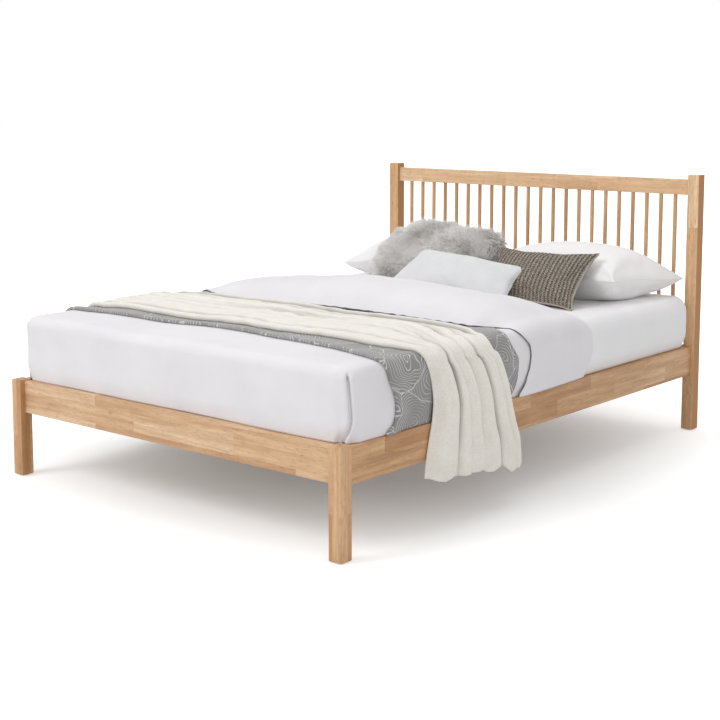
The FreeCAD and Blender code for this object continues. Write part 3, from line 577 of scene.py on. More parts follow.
def fur_strands():
    """Strand colour, with clumps, and painted shade that darkens it towards the roots by the height kept in UV.
    """
    n = new_material("fur_strands")
    clump = n.noise(n.coord(), 26.0, 3.0, 0.6)
    tip = n.split(n.coord("UV"))[1]
    clumped = n.ramp(clump, (0.38, 0.0), (0.62, 1.0))
    shade = n.times(tip, 0.55, n.times(clumped, 0.45))
    # painted shade deep in the pile: darker towards the roots
    color = n.ramp(shade, (0.06, srgb(198, 192, 185)), (0.64, srgb(254, 252, 249)))
    return n.finish(color, 0.72, Sheen_Weight=0.25, Specular_IOR_Level=0.2)


def knit_yarn():
    """Columns of stitches with painted shade in the gaps, from the flat place in metres kept in UV."""
    n = new_material("knit_yarn")
    at, flat = n.coord(), n.coord("UV")
    u, v, _ = n.split(flat)
    uneven = n.noise(flat, 70.0, 3.0, 0.65)
    column = n.times(uneven, 0.55, n.math("DIVIDE", u, COLUMN))
    middle = n.math("ABSOLUTE", n.math("SUBTRACT", n.math("FRACT", column), 0.5))
    every_other = n.times(n.math("FLOORED_MODULO", n.math("FLOOR", column), 2.0), 0.5)
    wave = n.math("ADD", n.math("DIVIDE", v, STITCH), n.times(uneven, 2.4, every_other))
    wave = n.times(middle, 0.9, wave)
    stitch = n.times(n.math("COSINE", n.times(wave, 2 * math.pi)), -0.5, 0.5)
    beside = n.ramp(middle, (0.20, 0.0), (0.44, 1.0))
    between = n.ramp(stitch, (0.10, 1.0), (0.60, 0.0))
    hole = n.math("MULTIPLY", beside, between)
    fibre = n.noise(at, 420.0, 4.0, 0.7)
    lump = n.noise(at, 90.0, 2.0, 0.5)
    color = n.ramp(
        n.times(lump, 0.5, n.times(fibre, 0.5)), (0.3, srgb(138, 127, 114)), (0.7, srgb(188, 178, 164))
    )
    # painted shade: darker between the stitches and beside the columns, and darkest in the holes between them
    for share, dark in ((n.times(between, 0.30), srgb(92, 82, 72)), (n.times(beside, 0.30), srgb(92, 82, 72)),
                        (n.times(hole, 0.85), srgb(48, 42, 36))):
        color = n.mix(share, color, dark)
    high = n.math("SUBTRACT", n.times(stitch, 0.6, n.times(fibre, 0.25)), hole)
    return n.finish(color, 0.95, Sheen_Weight=0.2, Specular_IOR_Level=0.1, Normal=n.bump(high, 0.8, 0.0030))


def piping_cord():
    n = new_material("piping_cord")
    twist = n.noise(n.coord(), 300.0, 2.0, 0.6)
    return n.finish(n.ramp(twist, (0.3, srgb(84, 84, 90)), (0.7, srgb(120, 120, 126))), 0.8)


# each wood from its light staves to its deep grain
FRONT_TONES = ((236, 205, 168), (222, 184, 144), (202, 159, 118), (170, 122, 80))
# the side rails' tones are darker than the foot rail's: painted shade for the bed's sides, which get less light
SHADED_SIDE_TONES = ((216, 176, 131), (203, 159, 111), (182, 134, 88), (149, 100, 57))
HEAD_TONES = ((247, 217, 180), (234, 197, 156), (216, 173, 132), (184, 136, 93))
POST_TONES = ((229, 192, 150), (216, 172, 127), (196, 148, 103), (164, 112, 68))
SPINDLE_TONES = ((224, 186, 146), (212, 173, 131), (196, 155, 113), (164, 120, 80))
SLAT_TONES = ((226, 203, 166), (219, 193, 153), (208, 180, 140), (186, 150, 108))
FOOT_RAIL_WOOD = wood("wood_x", "x", FRONT_TONES, stave=0.054, stave_length=0.42, seed=0.13)
SHADED_SIDE_WOOD = wood("wood_y", "y", SHADED_SIDE_TONES, stave=0.050, stave_length=0.36, seed=0.31)
POST_WOOD = wood("wood_post", "z", POST_TONES, stave=0.046, stave_length=0.62, seed=0.22)
# the head posts get painted shade on their faces to +X
HEAD_POST_WOOD = wood(
    "wood_head_post", "z", HEAD_TONES, stave=0.046, stave_length=0.62, seed=0.22, painted_right_shade=1.0, gloss=0.05
)
HEAD_RAIL_WOOD = wood("wood_head_x", "x", HEAD_TONES, stave=0.054, stave_length=0.42, seed=0.13)
SPINDLE_WOOD = wood("wood_spindle", "z", SPINDLE_TONES, stave=0.9, stave_length=3.0, gloss=0.0)
SLAT_WOOD = wood("wood_slat", "x", SLAT_TONES, stave=0.13, stave_length=1.6)
STEEL = steel()
PLASTIC = plastic()
TICKING = ticking()
DUVET_WHITE = cotton("white", (233, 231, 234), (227, 225, 229))
SHEET_WHITE = cotton("sheet_white", (242, 241, 242), (237, 236, 238))
PILLOW_WHITE = cotton("pillow_white", (245, 243, 243), (240, 238, 238))
PIPING = piping_cord()
RUNNER_WEAVE = runner_weave()
# the throw gets painted shade in its fold valleys
THROW_FLEECE = fleece(
    "throw_fleece", (247, 244, 236), (232, 227, 217), scale=260.0, strength=0.6, valley_shade=0.88
)
PALE_NAP = fleece("pale_nap", (226, 226, 227), (211, 212, 213), scale=500.0, strength=0.25)
KNIT_YARN = knit_yarn()
KNIT_EDGE = fleece("knit_edge_yarn", (186, 176, 162), (150, 139, 125), scale=420.0, strength=0.5)
FUR = fur_strands()


def wear(piece, material):
    piece.data.materials.clear()
    piece.data.materials.append(material)


def dress(piece, material):
    wear(piece, material)
    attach(piece, BODY)
    return piece


# ---------------------------------------------------------------- wooden frame and fittings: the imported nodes

# what the names of the nodes start with. A later row wins over an earlier one
NODE_MATERIALS = (
    (FOOT_RAIL_WOOD, ("foot_rail",)),
    (SHADED_SIDE_WOOD, ("side_rail", "ledger", "centre_rail", "rail_dowels")),
    (POST_WOOD, ("foot_post", "centre_leg")),
    (HEAD_POST_WOOD, ("head_post",)),
    (HEAD_RAIL_WOOD, ("headboard",)),
    (SPINDLE_WOOD, ("spindle",)),
    (SLAT_WOOD, ("slats",)),
    (PLASTIC, ("glides",)),
    (STEEL, ("rail_studs", "rail_nuts", "half_moon", "slat_screws", "ledger_screws", "hanger_screws",
             "centre_rail_hangers", "centre_leg_pin")),
)
for material, starts in NODE_MATERIALS:
    for node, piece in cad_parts.items():
        if node.startswith(starts):
            wear(piece, material)

# ---------------------------------------------------------------- mattress and fitted sheet


def mattress_like(name, half, foot, head, low, top, corner, arris, gap, floor):
    """A rounded block that is narrower where it lies between the side rails."""
    rim = 0.06
    xs = steps(-half, (-half + rim, gap / 2), (half - rim, gap), (half, gap / 2))
    ys = steps(foot, (foot + rim, gap / 2), (head - rim, gap), (head, gap / 2))
    zs = steps(low, (RAIL_TOP - 0.004, gap), (RAIL_TOP + 0.006, 0.0035), (top - 0.04, gap), (top, gap / 3))
    verts, faces = box_shell(xs, ys, zs, True, floor)
    pts = round_shell(verts, corner, arris, True, floor)
    inside = RAIL_IN - 0.0035
    narrow = 1 - smooth(pts[:, 2], RAIL_TOP - 0.003, RAIL_TOP + 0.005)
    pts[:, 0] *= 1 - narrow * (1 - inside / half)
    return make(name, pts, faces)


mattress = mattress_like(
    "mattress_body", SHEET_HALF - 0.0016, BED_FOOT + 0.001, BED_HEAD, BED_LOW, BED_TOP,
    corner=0.045, arris=0.029, gap=0.02, floor=True,
)
pts = points_of(mattress)
push(mattress, np.where(pts[:, 2] < BED_LOW + 0.002, 0.0, 0.0006 * ripples(pts, 3, 0.2)))
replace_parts(dress(mattress, TICKING), "mattress")

# the sheet's lower edge between the rails, and how far its sides swell out over them
SHEET_LOW = 0.29
SHEET_SWELL = 0.0118
sheet = mattress_like(
    "fitted_sheet_cover", SHEET_HALF, SHEET_FOOT, SHEET_HEAD, SHEET_LOW, SHEET_TOP,
    corner=0.046, arris=0.030, gap=0.012, floor=False,
)
pts = points_of(sheet)
x, y, z = np.abs(pts[:, 0]), pts[:, 1], pts[:, 2]
above = smooth(z, RAIL_TOP, RAIL_TOP + 0.05) * (1 - smooth(z, SHEET_TOP - 0.05, SHEET_TOP - 0.005))
side_face = smooth(x, SHEET_HALF - 0.05, SHEET_HALF - 0.01)
swell = SHEET_SWELL * above * side_face * smooth(y, 0.1, 0.4)
swell += 0.0030 * bell(y, SHEET_HEAD - 0.030, 0.007) * side_face * above
soft = 0.0014 * ripples(pts, 11, 0.16, stretch=(1, 2.2, 1)) * above
top_face = smooth(z, SHEET_TOP - 0.004, SHEET_TOP)
tension = 0.0007 * ripples(pts, 12, 0.10, stretch=(2.5, 1, 1)) * top_face * smooth(y, 0.25, 0.5)
push(sheet, swell + soft + np.abs(tension))
thicken(sheet, SHEET_THICK)
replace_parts(dress(sheet, SHEET_WHITE), "fitted_sheet")

# ---------------------------------------------------------------- duvet: its lower layer with mitred corners

half = DUVET_HALF
LAYER_END = TURN_HEAD - 0.03
CREASE_DEPTH = 0.028
xs = steps(
    -half, (-half + 0.075, 0.0025), (-half + 0.2, 0.008), (half - 0.2, 0.012), (half - 0.075, 0.008),
    (half, 0.0025),
)
ys = steps(DUVET_FOOT, (DUVET_FOOT + 0.075, 0.0025), (DUVET_FOOT + 0.25, 0.009), (LAYER_END, 0.013))
zs = steps(HEM, (HEM + 0.03, 0.004), (DUVET_TOP - 0.07, 0.006), (DUVET_TOP, 0.003))
verts, faces = box_shell(xs, ys, zs, False, False)
duvet = make("duvet_lower_layer", round_shell(verts, DUVET_CORNER, DUVET_ARRIS, False, False), faces)
pts = points_of(duvet)
x, y, z = np.abs(pts[:, 0]), pts[:, 1], pts[:, 2]
right = pts[:, 0] > 0
# metres round the foot corner from its middle: less than none to the foot, more to the side
corner_x, corner_y = half - DUVET_CORNER, DUVET_FOOT + DUVET_CORNER
eighth = DUVET_CORNER * math.pi / 4
angle = np.arctan2(np.maximum(x - corner_x, -0.02), np.maximum(corner_y - y, -0.02))
around = np.where(y >= corner_y, eighth + (y - corner_y), -eighth - (corner_x - x))
around = np.where((x > corner_x) & (y < corner_y), DUVET_CORNER * (angle - math.pi / 4), around)
crease_at = table(
    z, (0.316, -0.012), (0.335, -0.003), (0.358, 0.006), (0.381, 0.010), (0.418, 0.008), (0.473, 0.003),
    (0.505, 0.0),
)
off = around - np.where(right, crease_at, crease_at * 0.4 - 0.004)
low_enough = 1 - smooth(z, DUVET_TOP - 0.034, DUVET_TOP - 0.014)
near_hem = 1 - smooth(z, HEM, HEM + 0.05)
groove = -CREASE_DEPTH * bell(off, 0.0, 0.0030)
lip = (0.0050 * bell(off, 0.0110, 0.0090) + 0.0035 * bell(off, -0.0125, 0.009)) * np.where(right, 1.0, 0.35)
tuck = -0.010 * near_hem * bell(off, -0.014, 0.012)
pinch = 0.0011 * np.sin(z * 520.0) * bell(off, 0.008, 0.006) * (1 - smooth(z, HEM + 0.07, HEM + 0.12))
crease = (groove + lip + tuck + pinch) * low_enough
wall = 1 - smooth(z, DUVET_TOP - 0.03, DUVET_TOP - 0.005)
foot_face = wall * smooth(corner_y - y, 0.0, 0.03)
side_wall = wall * smooth(x, half - 0.03, half - 0.005)
undulate = 0.0022 * ripples(pts, 21, 0.30, stretch=(1.6, 1, 0.8)) * foot_face
undulate += 0.0022 * ripples(pts, 22, 0.26, stretch=(1, 1.4, 0.8)) * side_wall
undulate += 0.0022 * ripples(pts, 23, 0.33) * (1 - wall) + 0.0004 * ripples(pts, 24, 0.05)
fan = 0.0016 * np.sin(around * 170.0 + 1.2) * bell(off, 0.0, 0.045) * near_hem
push(duvet, crease + undulate - 0.004 * near_hem + fan)
thicken(duvet, DUVET_THICK)

# ---------------------------------------------------------------- duvet: the part turned back over it

SHEET_ARC = 0.030
TURN_THICK = 0.1055


def shell_faces(nu, nv):
    """Faces of two grids of points, one over the other, and of the walls between their edges."""
    down = nu * nv
    faces = grid_faces(nu, nv) + grid_faces(nu, nv, down, flip=True)
    for i in range(nu - 1):
        for j, flip in ((0, False), (nv - 1, True)):
            a, b = i * nv + j, (i + 1) * nv + j
            quad = (a, a + down, b + down, b)
            faces.append(quad[::-1] if flip else quad)
    for j in range(nv - 1):
        for i, flip in ((0, False), (nu - 1, True)):
            a, b = i * nv + j, i * nv + j + 1
            quad = (a, b, b + down, a + down)
            faces.append(quad[::-1] if flip else quad)
    return faces


turn_u = reach(SHEET_HALF, SHEET_TOP, SHEET_ARC, HEM)
us = np.linspace(-turn_u, turn_u, 301)
vs = np.concatenate(
    [np.linspace(0, 0.08, 12)[:-1], np.linspace(0.08, 0.9, 50)[:-1], np.linspace(0.9, 1.0, 15)]
)
U, W = np.meshgrid(us, vs, indexing="ij")
X0, Z0, NX, NZ = wrap(U, SHEET_HALF, SHEET_TOP, SHEET_ARC)
from_hem = turn_u - np.abs(U)
inner = smooth(from_hem, 0.19, 0.31)
front_hanging = table(
    Z0, (0.315, -0.172), (0.345, -0.143), (0.39, -0.116), (0.431, -0.104), (0.467, -0.113), (0.502, -0.172)
)
back_hanging = np.where(
    U > 0,
    table(Z0, (0.315, 0.235), (0.35, 0.268), (0.40, 0.290), (0.45, 0.283), (0.49, 0.245), (0.502, 0.225)),
    table(Z0, (0.315, 0.245), (0.40, 0.285), (0.46, 0.27), (0.502, 0.22)),
)
front = blend(front_hanging, TURN_FRONT - 0.004 + 0.008 * np.sin(U * 5.0 + 0.4), inner)
back = blend(back_hanging, TURN_HEAD + 0.004 * np.sin(U * 7.0), inner)
gathered = 0.3 + 0.7 * smooth(ripples(spots(U), 31, 0.13), -0.3, 0.7)
scallop = 0.0024 * np.abs(np.sin(U * 66.0)) ** 0.7 * np.exp(-W / 0.02) * gathered
Y = front + (back - front) * W + scallop
top_part = smooth(from_hem, 0.155, 0.30)
crown = TURN_THICK * np.where(
    U > 0,
    table(U, (0.0, 1.0), (0.28, 0.93), (0.49, 0.86), (0.62, 0.70), (0.8, 0.52)),
    table(-U, (0.0, 1.0), (0.25, 0.90), (0.42, 0.75), (0.59, 0.55), (0.68, 0.44)),
)
rise = table(
    W, (0.0, 0.315), (0.015, 0.385), (0.04, 0.52), (0.09, 0.72), (0.17, 0.87), (0.30, 0.97), (0.45, 1.0),
    (0.60, 0.985), (0.75, 0.90), (0.88, 0.70), (0.96, 0.42), (1.0, 0.0),
)
side_rise = table(
    W, (0.0, 0.0178), (0.03, 0.0215), (0.25, 0.0215), (0.6, 0.018), (0.9, 0.013), (0.97, 0.0095), (1.0, 0.0)
)
thick = blend(side_rise, np.maximum(crown * rise, 0.0275 * smooth(W, 1.0, 0.93)), top_part)
at = spots(U, Y)
ease = np.minimum(1, W * 9) * np.minimum(1, (1 - W) * 7)
soft = 0.0032 * ripples(at, 33, 0.28, stretch=(1.5, 1, 1))
soft += 0.0014 * ripples(at, 34, 0.09, stretch=(1, 1.8, 1))
gather = 0.0016 * np.sin(U * 132.0) * np.exp(-W / 0.06) * gathered
over_shoulder = 0.0062 * bell(np.abs(U), SHEET_HALF - SHEET_ARC * (1 - math.pi / 4), 0.022)
thick = thick + soft * ease * (0.45 + 0.55 * top_part) + gather + over_shoulder * smooth(W, 1.0, 0.8)
# the underside lies on the lower layer, and higher where the runner lies between them
over_runner = smooth(-Y, 0.13, 0.16)
under = blend(0.0128 + 0.0046 * over_runner, 0.0205 + 0.0050 * over_runner, top_part) + over_shoulder * 0.8
under = under * (1 - smooth(Y, LAYER_END - 0.004, LAYER_END + 0.012)) + 0.0008
under = np.minimum(under + 0.0050 * top_part * (1 - smooth(W, 0.0, 0.03)), thick)
outer = spots(X0 + NX * thick, Y, Z0 + NZ * thick)
lower = spots(X0 + NX * under, Y, Z0 + NZ * under)
turned = make("duvet_turned_back", np.concatenate([outer, lower]), shell_faces(*U.shape))
edge = outer[:, 0] * 0.55 + lower[:, 0] * 0.45
edge[:, 1] -= 0.0012
piping = make("duvet_piping", *tube(edge, 0.0014))
for piece, cloth in ((duvet, DUVET_WHITE), (turned, DUVET_WHITE), (piping, PIPING)):
    dress(piece, cloth)
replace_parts(duvet, "duvet")

# ---------------------------------------------------------------- cloths laid across the bed


def across(foot_edge, head_edge, roll_foot, roll_head, vs, base):
    """Rows of a cloth from its foot edge to its head edge, each edge rolled under itself.

    Gives the place along the bed, the height over what carries the cloth and the share of the width.
    """
    roll_foot, roll_head = roll_foot + 0 * foot_edge, roll_head + 0 * foot_edge
    turns = np.linspace(0, math.pi, 9)
    ys, heights, shares = [], [], []
    for t in turns:
        ys.append(foot_edge + roll_foot * (1 - math.sin(t)))
        heights.append(roll_foot * (1 - math.cos(t)))
        shares.append(np.zeros_like(foot_edge))
    for w in vs:
        ys.append(foot_edge + roll_foot + (head_edge - foot_edge - roll_foot - roll_head) * w)
        fall = 2 * roll_foot * (1 - smooth(w, 0.0, 0.16)) + 2 * roll_head * smooth(w, 0.88, 1.0)
        heights.append(np.maximum(fall, base))
        shares.append(np.full_like(foot_edge, w))
    for t in turns[::-1]:
        ys.append(head_edge - roll_head * (1 - math.sin(t)))
        heights.append(roll_head * (1 - math.cos(t)))
        shares.append(np.ones_like(foot_edge))
    return np.stack(ys, 1), np.stack(heights, 1), np.stack(shares, 1)


def lay_on(points, out, tree, gap):
    """Slides points along "out" so that they lie "gap" above a surface."""
    result = points.reshape(-1, 3).copy()
    flat_out, flat_gap = out.reshape(-1, 3), gap.ravel()
    for i in range(len(result)):
        o = Vector(flat_out[i])
        hit = tree.ray_cast(Vector(result[i]) + o * 0.05, -o, 0.12)[0]
        if hit is not None:
            result[i] = np.array(hit + o * flat_gap[i])
    return result.reshape(points.shape)


# ---------------------------------------------------------------- bed runner

run_u = reach(DUVET_HALF, DUVET_TOP, DUVET_ARRIS, HEM)
us = np.linspace(-run_u, run_u, 241)
height = wrap(us, DUVET_HALF, DUVET_TOP, DUVET_ARRIS)[1]
foot_right = table(
    height, (0.315, -0.818), (0.344, -0.786), (0.392, -0.779), (0.47, -0.806), (0.514, -0.828),
    (0.522, -0.838),
)
foot_left = table(height, (0.315, -0.790), (0.40, -0.780), (0.49, -0.795), (0.522, -0.790))
foot_hanging = np.where(us > 0, foot_right, foot_left)
foot_on_top = table(
    us, (-0.68, -0.780), (-0.52, -0.780), (-0.31, -0.772), (-0.10, -0.752), (0.10, -0.747), (0.27, -0.760),
    (0.50, -0.782), (0.62, -0.815), (0.69, -0.840),
)
head_hanging = table(
    height, (0.315, -0.205), (0.346, -0.188), (0.40, -0.172), (0.43, -0.171), (0.456, -0.188),
    (0.487, -0.213), (0.522, -0.228),
)
head_hanging = np.where(us > 0, head_hanging, -0.19)
head_on_top = table(np.abs(us), (0.0, -0.172), (0.58, -0.172), (0.68, -0.225))
inner = smooth(run_u - np.abs(us), 0.20, 0.235)
foot_edge = blend(foot_hanging, foot_on_top, inner)
head_edge = blend(head_hanging, head_on_top, inner)
Y, lift, W = across(
    foot_edge, head_edge, roll_foot=0.0058, roll_head=0.0014, vs=np.linspace(0, 1, 71), base=0.0028
)
U = np.repeat(us[:, None], Y.shape[1], 1)
unrest = 0.0007 * ripples(spots(U, Y), 41, 0.07) + 0.0014 * ripples(spots(us), 42, 0.08)[:, None]
lift = lift + 0.0006 + unrest * np.sin(math.pi * np.clip(W, 0.02, 0.98))
X0, Z0, NX, NZ = wrap(U, DUVET_HALF, DUVET_TOP, DUVET_ARRIS)
run_pts = lay_on(spots(X0, Y, Z0), spots(NX, 0.0, NZ), tree_of(duvet), lift)
runner = make("runner_cloth", run_pts, grid_faces(*U.shape), uv=spots(U, Y)[..., :2])
thicken(runner, RUNNER_THICK)
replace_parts(dress(runner, RUNNER_WEAVE), "bed_runner")

# ---------------------------------------------------------------- throw

THROW_HALF = DUVET_HALF + 0.0062
THROW_TOP = DUVET_TOP + 0.0055
THROW_ARC = 0.040
HEM_MIDDLE = 0.142
flat_u = THROW_HALF - THROW_ARC
arc_u = THROW_ARC * math.pi / 2
side_u = flat_u + arc_u


def level(z):
    """How far along the cloth a height on the side of the bed lies."""
    return reach(THROW_HALF, THROW_TOP, THROW_ARC, z)


throw_u = level(HEM_MIDDLE)
us = np.linspace(-throw_u, throw_u, 441)
foot_right = table(
    us, (-0.2, -0.677), (0.18, -0.672), (0.36, -0.668), (0.57, -0.680), (0.66, -0.672),
    (flat_u + 0.3 * arc_u, -0.662), (side_u, -0.645), (level(0.45), -0.628), (level(0.366), -0.613),
    (level(0.316), -0.618), (level(0.255), -0.633), (throw_u, -0.652),
)
foot_left = table(
    -us, (0.0, -0.676), (0.20, -0.677), (0.40, -0.683), (0.54, -0.674), (0.64, -0.695), (side_u, -0.700),
    (level(0.45), -0.665), (level(0.30), -0.650), (throw_u, -0.665),
)
head_right = table(
    us, (0.0, -0.238), (0.40, -0.240), (0.50, -0.250), (0.59, -0.278), (0.65, -0.318),
    (flat_u + 0.5 * arc_u, -0.332), (side_u, -0.322), (level(0.474), -0.297), (level(0.437), -0.272),
    (level(0.387), -0.254), (level(0.337), -0.240), (level(0.271), -0.214), (level(0.21), -0.186),
    (throw_u, -0.178),
)
head_left = table(
    -us, (0.0, -0.238), (0.25, -0.240), (0.50, -0.248), (0.58, -0.258), (0.65, -0.272), (side_u, -0.276),
    (level(0.40), -0.262), (throw_u, -0.240),
)
foot_edge = np.where(us > 0, foot_right, foot_left)
head_edge = np.where(us > 0, head_right, head_left)
hang = smooth(np.abs(us), flat_u - 0.03, side_u + 0.03)
Y, lift, W = across(
    foot_edge, head_edge,
    roll_foot=0.0095 - 0.0060 * hang, roll_head=0.0035, vs=np.linspace(0, 1, 201), base=0.0,
)
U = np.repeat(us[:, None], Y.shape[1], 1)
hang = np.repeat(hang[:, None], Y.shape[1], 1)

# Valleys between the folds: the share of the width at which each runs at five places across the bed, its
# depth on top and hanging, and how far it reaches to the foot and to the head. They crowd to the head edge
# before the cloth turns over the side. Those that hang deep part the main folds, which arch between them.
VALLEY_PLACES = (-0.6, 0.0, 0.42, side_u + 0.02, throw_u)
VALLEYS = (
    ((0.09, 0.11, 0.13, 0.10, 0.12), 0.0150, 0.0050, 0.014, 0.030),
    ((0.21, 0.25, 0.28, 0.16, 0.16), 0.0110, 0.0030, 0.010, 0.026),
    ((0.33, 0.38, 0.41, 0.21, 0.21), 0.0140, 0.0040, 0.010, 0.026),
    ((0.45, 0.51, 0.53, 0.26, 0.25), 0.0160, 0.0440, 0.011, 0.040),
    ((0.57, 0.61, 0.62, 0.34, 0.38), 0.0120, 0.0200, 0.010, 0.020),
    ((0.69, 0.71, 0.72, 0.49, 0.52), 0.0160, 0.0290, 0.010, 0.032),
    ((0.81, 0.83, 0.84, 0.68, 0.72), 0.0140, 0.0430, 0.011, 0.040),
    ((0.92, 0.93, 0.94, 0.85, 0.87), 0.0100, 0.0160, 0.010, 0.024),
)
MAIN_VALLEY = 0.0150
FOLD_ARCH = 0.75
CREST_ON_TOP = 0.0200
CREST_HANGING = 0.0480
width = (head_edge - foot_edge)[:, None]
grown = np.where(U > 0, 0.45 + 0.55 * smooth(U, flat_u, side_u + 0.16), 0.35)
hanging = hang * grown * (1 - 0.35 * smooth(np.abs(U), side_u + 0.14, throw_u))
valley = lean = between = U * 0
centres, depths = [U * 0], [U * 0]
for i, (shares, deep_top, deep_hang, to_foot, to_head) in enumerate(VALLEYS):
    is_main = deep_hang >= MAIN_VALLEY
    sway = 0.009 * ripples(spots(U), 70 + i, 0.30) * (1 - 0.6 * hang)
    centre = table(U, *zip(VALLEY_PLACES, shares)) + sway
    deep = deep_top * (0.85 + 0.20 * ripples(spots(U), 80 + i, 0.45)) * (1 - hang)
    deep = deep + (0.3 * deep_hang if is_main else deep_hang) * hanging
    off = (W - centre) * width
    groove = np.maximum(deep, 0.0) * np.exp(-np.abs(off) / np.where(off < 0, to_foot, to_head))
    valley = valley + groove ** 2
    lean = lean + 0.30 * deep * hang * bell(off, -to_foot, 0.014)
    if is_main:
        centres.append(centre)
        depths.append(deep_hang * hanging)
centres.append(U * 0 + 1)
depths.append(U * 0)
for start, end, start_depth, end_depth in zip(centres, centres[1:], depths, depths[1:]):
    t = (W - start) / np.maximum(end - start, 0.01)
    arch = (4 * np.clip(t, 0, 1) * (1 - np.clip(t, 0, 1))) ** FOLD_ARCH
    between = np.where((t >= 0) & (t < 1), (1 - arch) * blend(start_depth, end_depth, t), between)
valley = np.sqrt(valley + between ** 2)
rounded = (1 - np.exp(-W / 0.055)) * (1 - np.exp(-(1 - W) / 0.045))
body = np.clip(W * 12, 0, 1) * np.clip((1 - W) * 12, 0, 1)
crest_on_top = CREST_ON_TOP * (1 - hang) * (0.45 + 0.55 * rounded) * (1 - 0.85 * smooth(W, 0.70, 0.98))
crest = crest_on_top + CREST_HANGING * hang * grown * rounded
rolled = (W <= 0) | (W >= 1)
lift = np.where(rolled, lift, np.maximum(lift, 0.0026 + np.maximum(crest - valley, 0.0)))
Y = Y + lean * body
# finer folds that ride on the broad ones
fine_hanging = 0.0019 * ripples(spots(U * 0.10, W * 0.45), 52, 0.040) * hang
fine_on_top = 0.0008 * ripples(spots(U, Y), 55, 0.055, stretch=(5, 1, 1)) * (1 - hang)
lift = lift + body * (fine_hanging + fine_on_top)
lift = np.where(rolled, lift, np.maximum(lift, 0.0024))
# how deep each point lies in a fold valley, kept in UV for the fleece's painted shade
painted_valley_shade = smooth(valley / np.maximum(crest, 0.004), 0.15, 1.0) * body
# the hanging ends are drawn out or in, so that the hem has its own height at each fold
hem_right = table(
    W, (0.0, 0.160), (0.06, 0.150), (0.10, 0.147), (0.17, 0.157), (0.23, 0.149), (0.35, 0.145), (0.47, 0.146),
    (0.56, 0.131), (0.70, 0.139), (0.80, 0.110), (0.88, 0.112), (1.0, 0.128),
)
hem_left = table(
    W, (0.0, 0.160), (0.2, 0.150), (0.4, 0.158), (0.55, 0.148), (0.75, 0.155), (0.88, 0.142), (1.0, 0.165)
)
end_u = level(np.where(U > 0, hem_right, hem_left))
drawn_u = side_u + (np.abs(U) - side_u) * (end_u - side_u) / (throw_u - side_u)
X0, Z0, NX, NZ = wrap(np.where(np.abs(U) > side_u, np.sign(U) * drawn_u, U), THROW_HALF, THROW_TOP, THROW_ARC)
out = spots(NX, 0.0, NZ)
own_base = spots(X0, Y, Z0)
carried = lay_on(own_base, out, tree_of(duvet), 0 * lift)
carried = lay_on(carried, out, tree_of(runner), 0 * lift)
on_bed = 1 - smooth(np.abs(U), flat_u + 0.3 * arc_u, side_u + 0.02)[..., None]
throw_pts = blend(own_base, carried - out * 0.0004, on_bed) + out * lift[..., None]
throw = make("throw_cloth", throw_pts, grid_faces(*U.shape), uv=spots(U, 1 - painted_valley_shade)[..., :2])
thicken(throw, THROW_THICK)
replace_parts(dress(throw, THROW_FLEECE), "throw")

# ---------------------------------------------------------------- pillows and cushions, filled by simulation


def envelope(length, width, gap):
    """Two panels joined at the rim: the flat place and panel of each point, the faces, the rim in order."""
    nx, ny = int(round(length / gap)) + 1, int(round(width / gap)) + 1
    xs, ys = np.linspace(-1, 1, nx), np.linspace(-1, 1, ny)
    flat, index, faces = [], {}, []
    for side in (1, -1):
        for i in range(nx):
            for j in range(ny):
                rim = i in (0, nx - 1) or j in (0, ny - 1)
                key = (0 if rim else side, i, j)
                if key not in index:
                    index[key] = len(flat)
                    flat.append((xs[i], ys[j], side * (0 if rim else 1)))
        for i in range(nx - 1):
            for j in range(ny - 1):
                ids = []
                for a, b in ((i, j), (i + 1, j), (i + 1, j + 1), (i, j + 1)):
                    rim = a in (0, nx - 1) or b in (0, ny - 1)
                    ids.append(index[(0 if rim else side, a, b)])
                faces.append(tuple(ids if side > 0 else ids[::-1]))
    ring = [index[(0, i, 0)] for i in range(nx)]
    ring += [index[(0, nx - 1, j)] for j in range(1, ny)]
    ring += [index[(0, i, ny - 1)] for i in range(nx - 2, -1, -1)]
    ring += [index[(0, 0, j)] for j in range(ny - 2, 0, -1)]
    return np.array(flat), faces, ring


def filled(flat, length, width, thickness, corner, draw, powers):
    """The form of a filled envelope: its corners rounded by "corner", its seams drawn in by "draw"."""
    u, v = flat[:, 0], flat[:, 1]
    x, y = u * length / 2, v * width / 2
    if corner:
        dx, dy = np.abs(x) - (length / 2 - corner), np.abs(y) - (width / 2 - corner)
        zone = (dx > 0) & (dy > 0)
        shrink = np.where(zone, np.maximum(dx, dy) / np.maximum(np.hypot(dx, dy), 1e-9), 1.0)
        x = np.where(zone, np.sign(x) * (length / 2 - corner + dx * shrink), x)
        y = np.where(zone, np.sign(y) * (width / 2 - corner + dy * shrink), y)
    x = x * (1 - 2 * draw / length * (1 - v ** 2) * np.abs(u) ** 3)
    y = y * (1 - 2 * draw / width * (1 - u ** 2) * np.abs(v) ** 3)
    a, b, c = powers
    z = thickness / 2 * ((1 - np.abs(u) ** a) * (1 - np.abs(v) ** b)) ** c * flat[:, 2]
    return np.stack([x, y, z], 1)


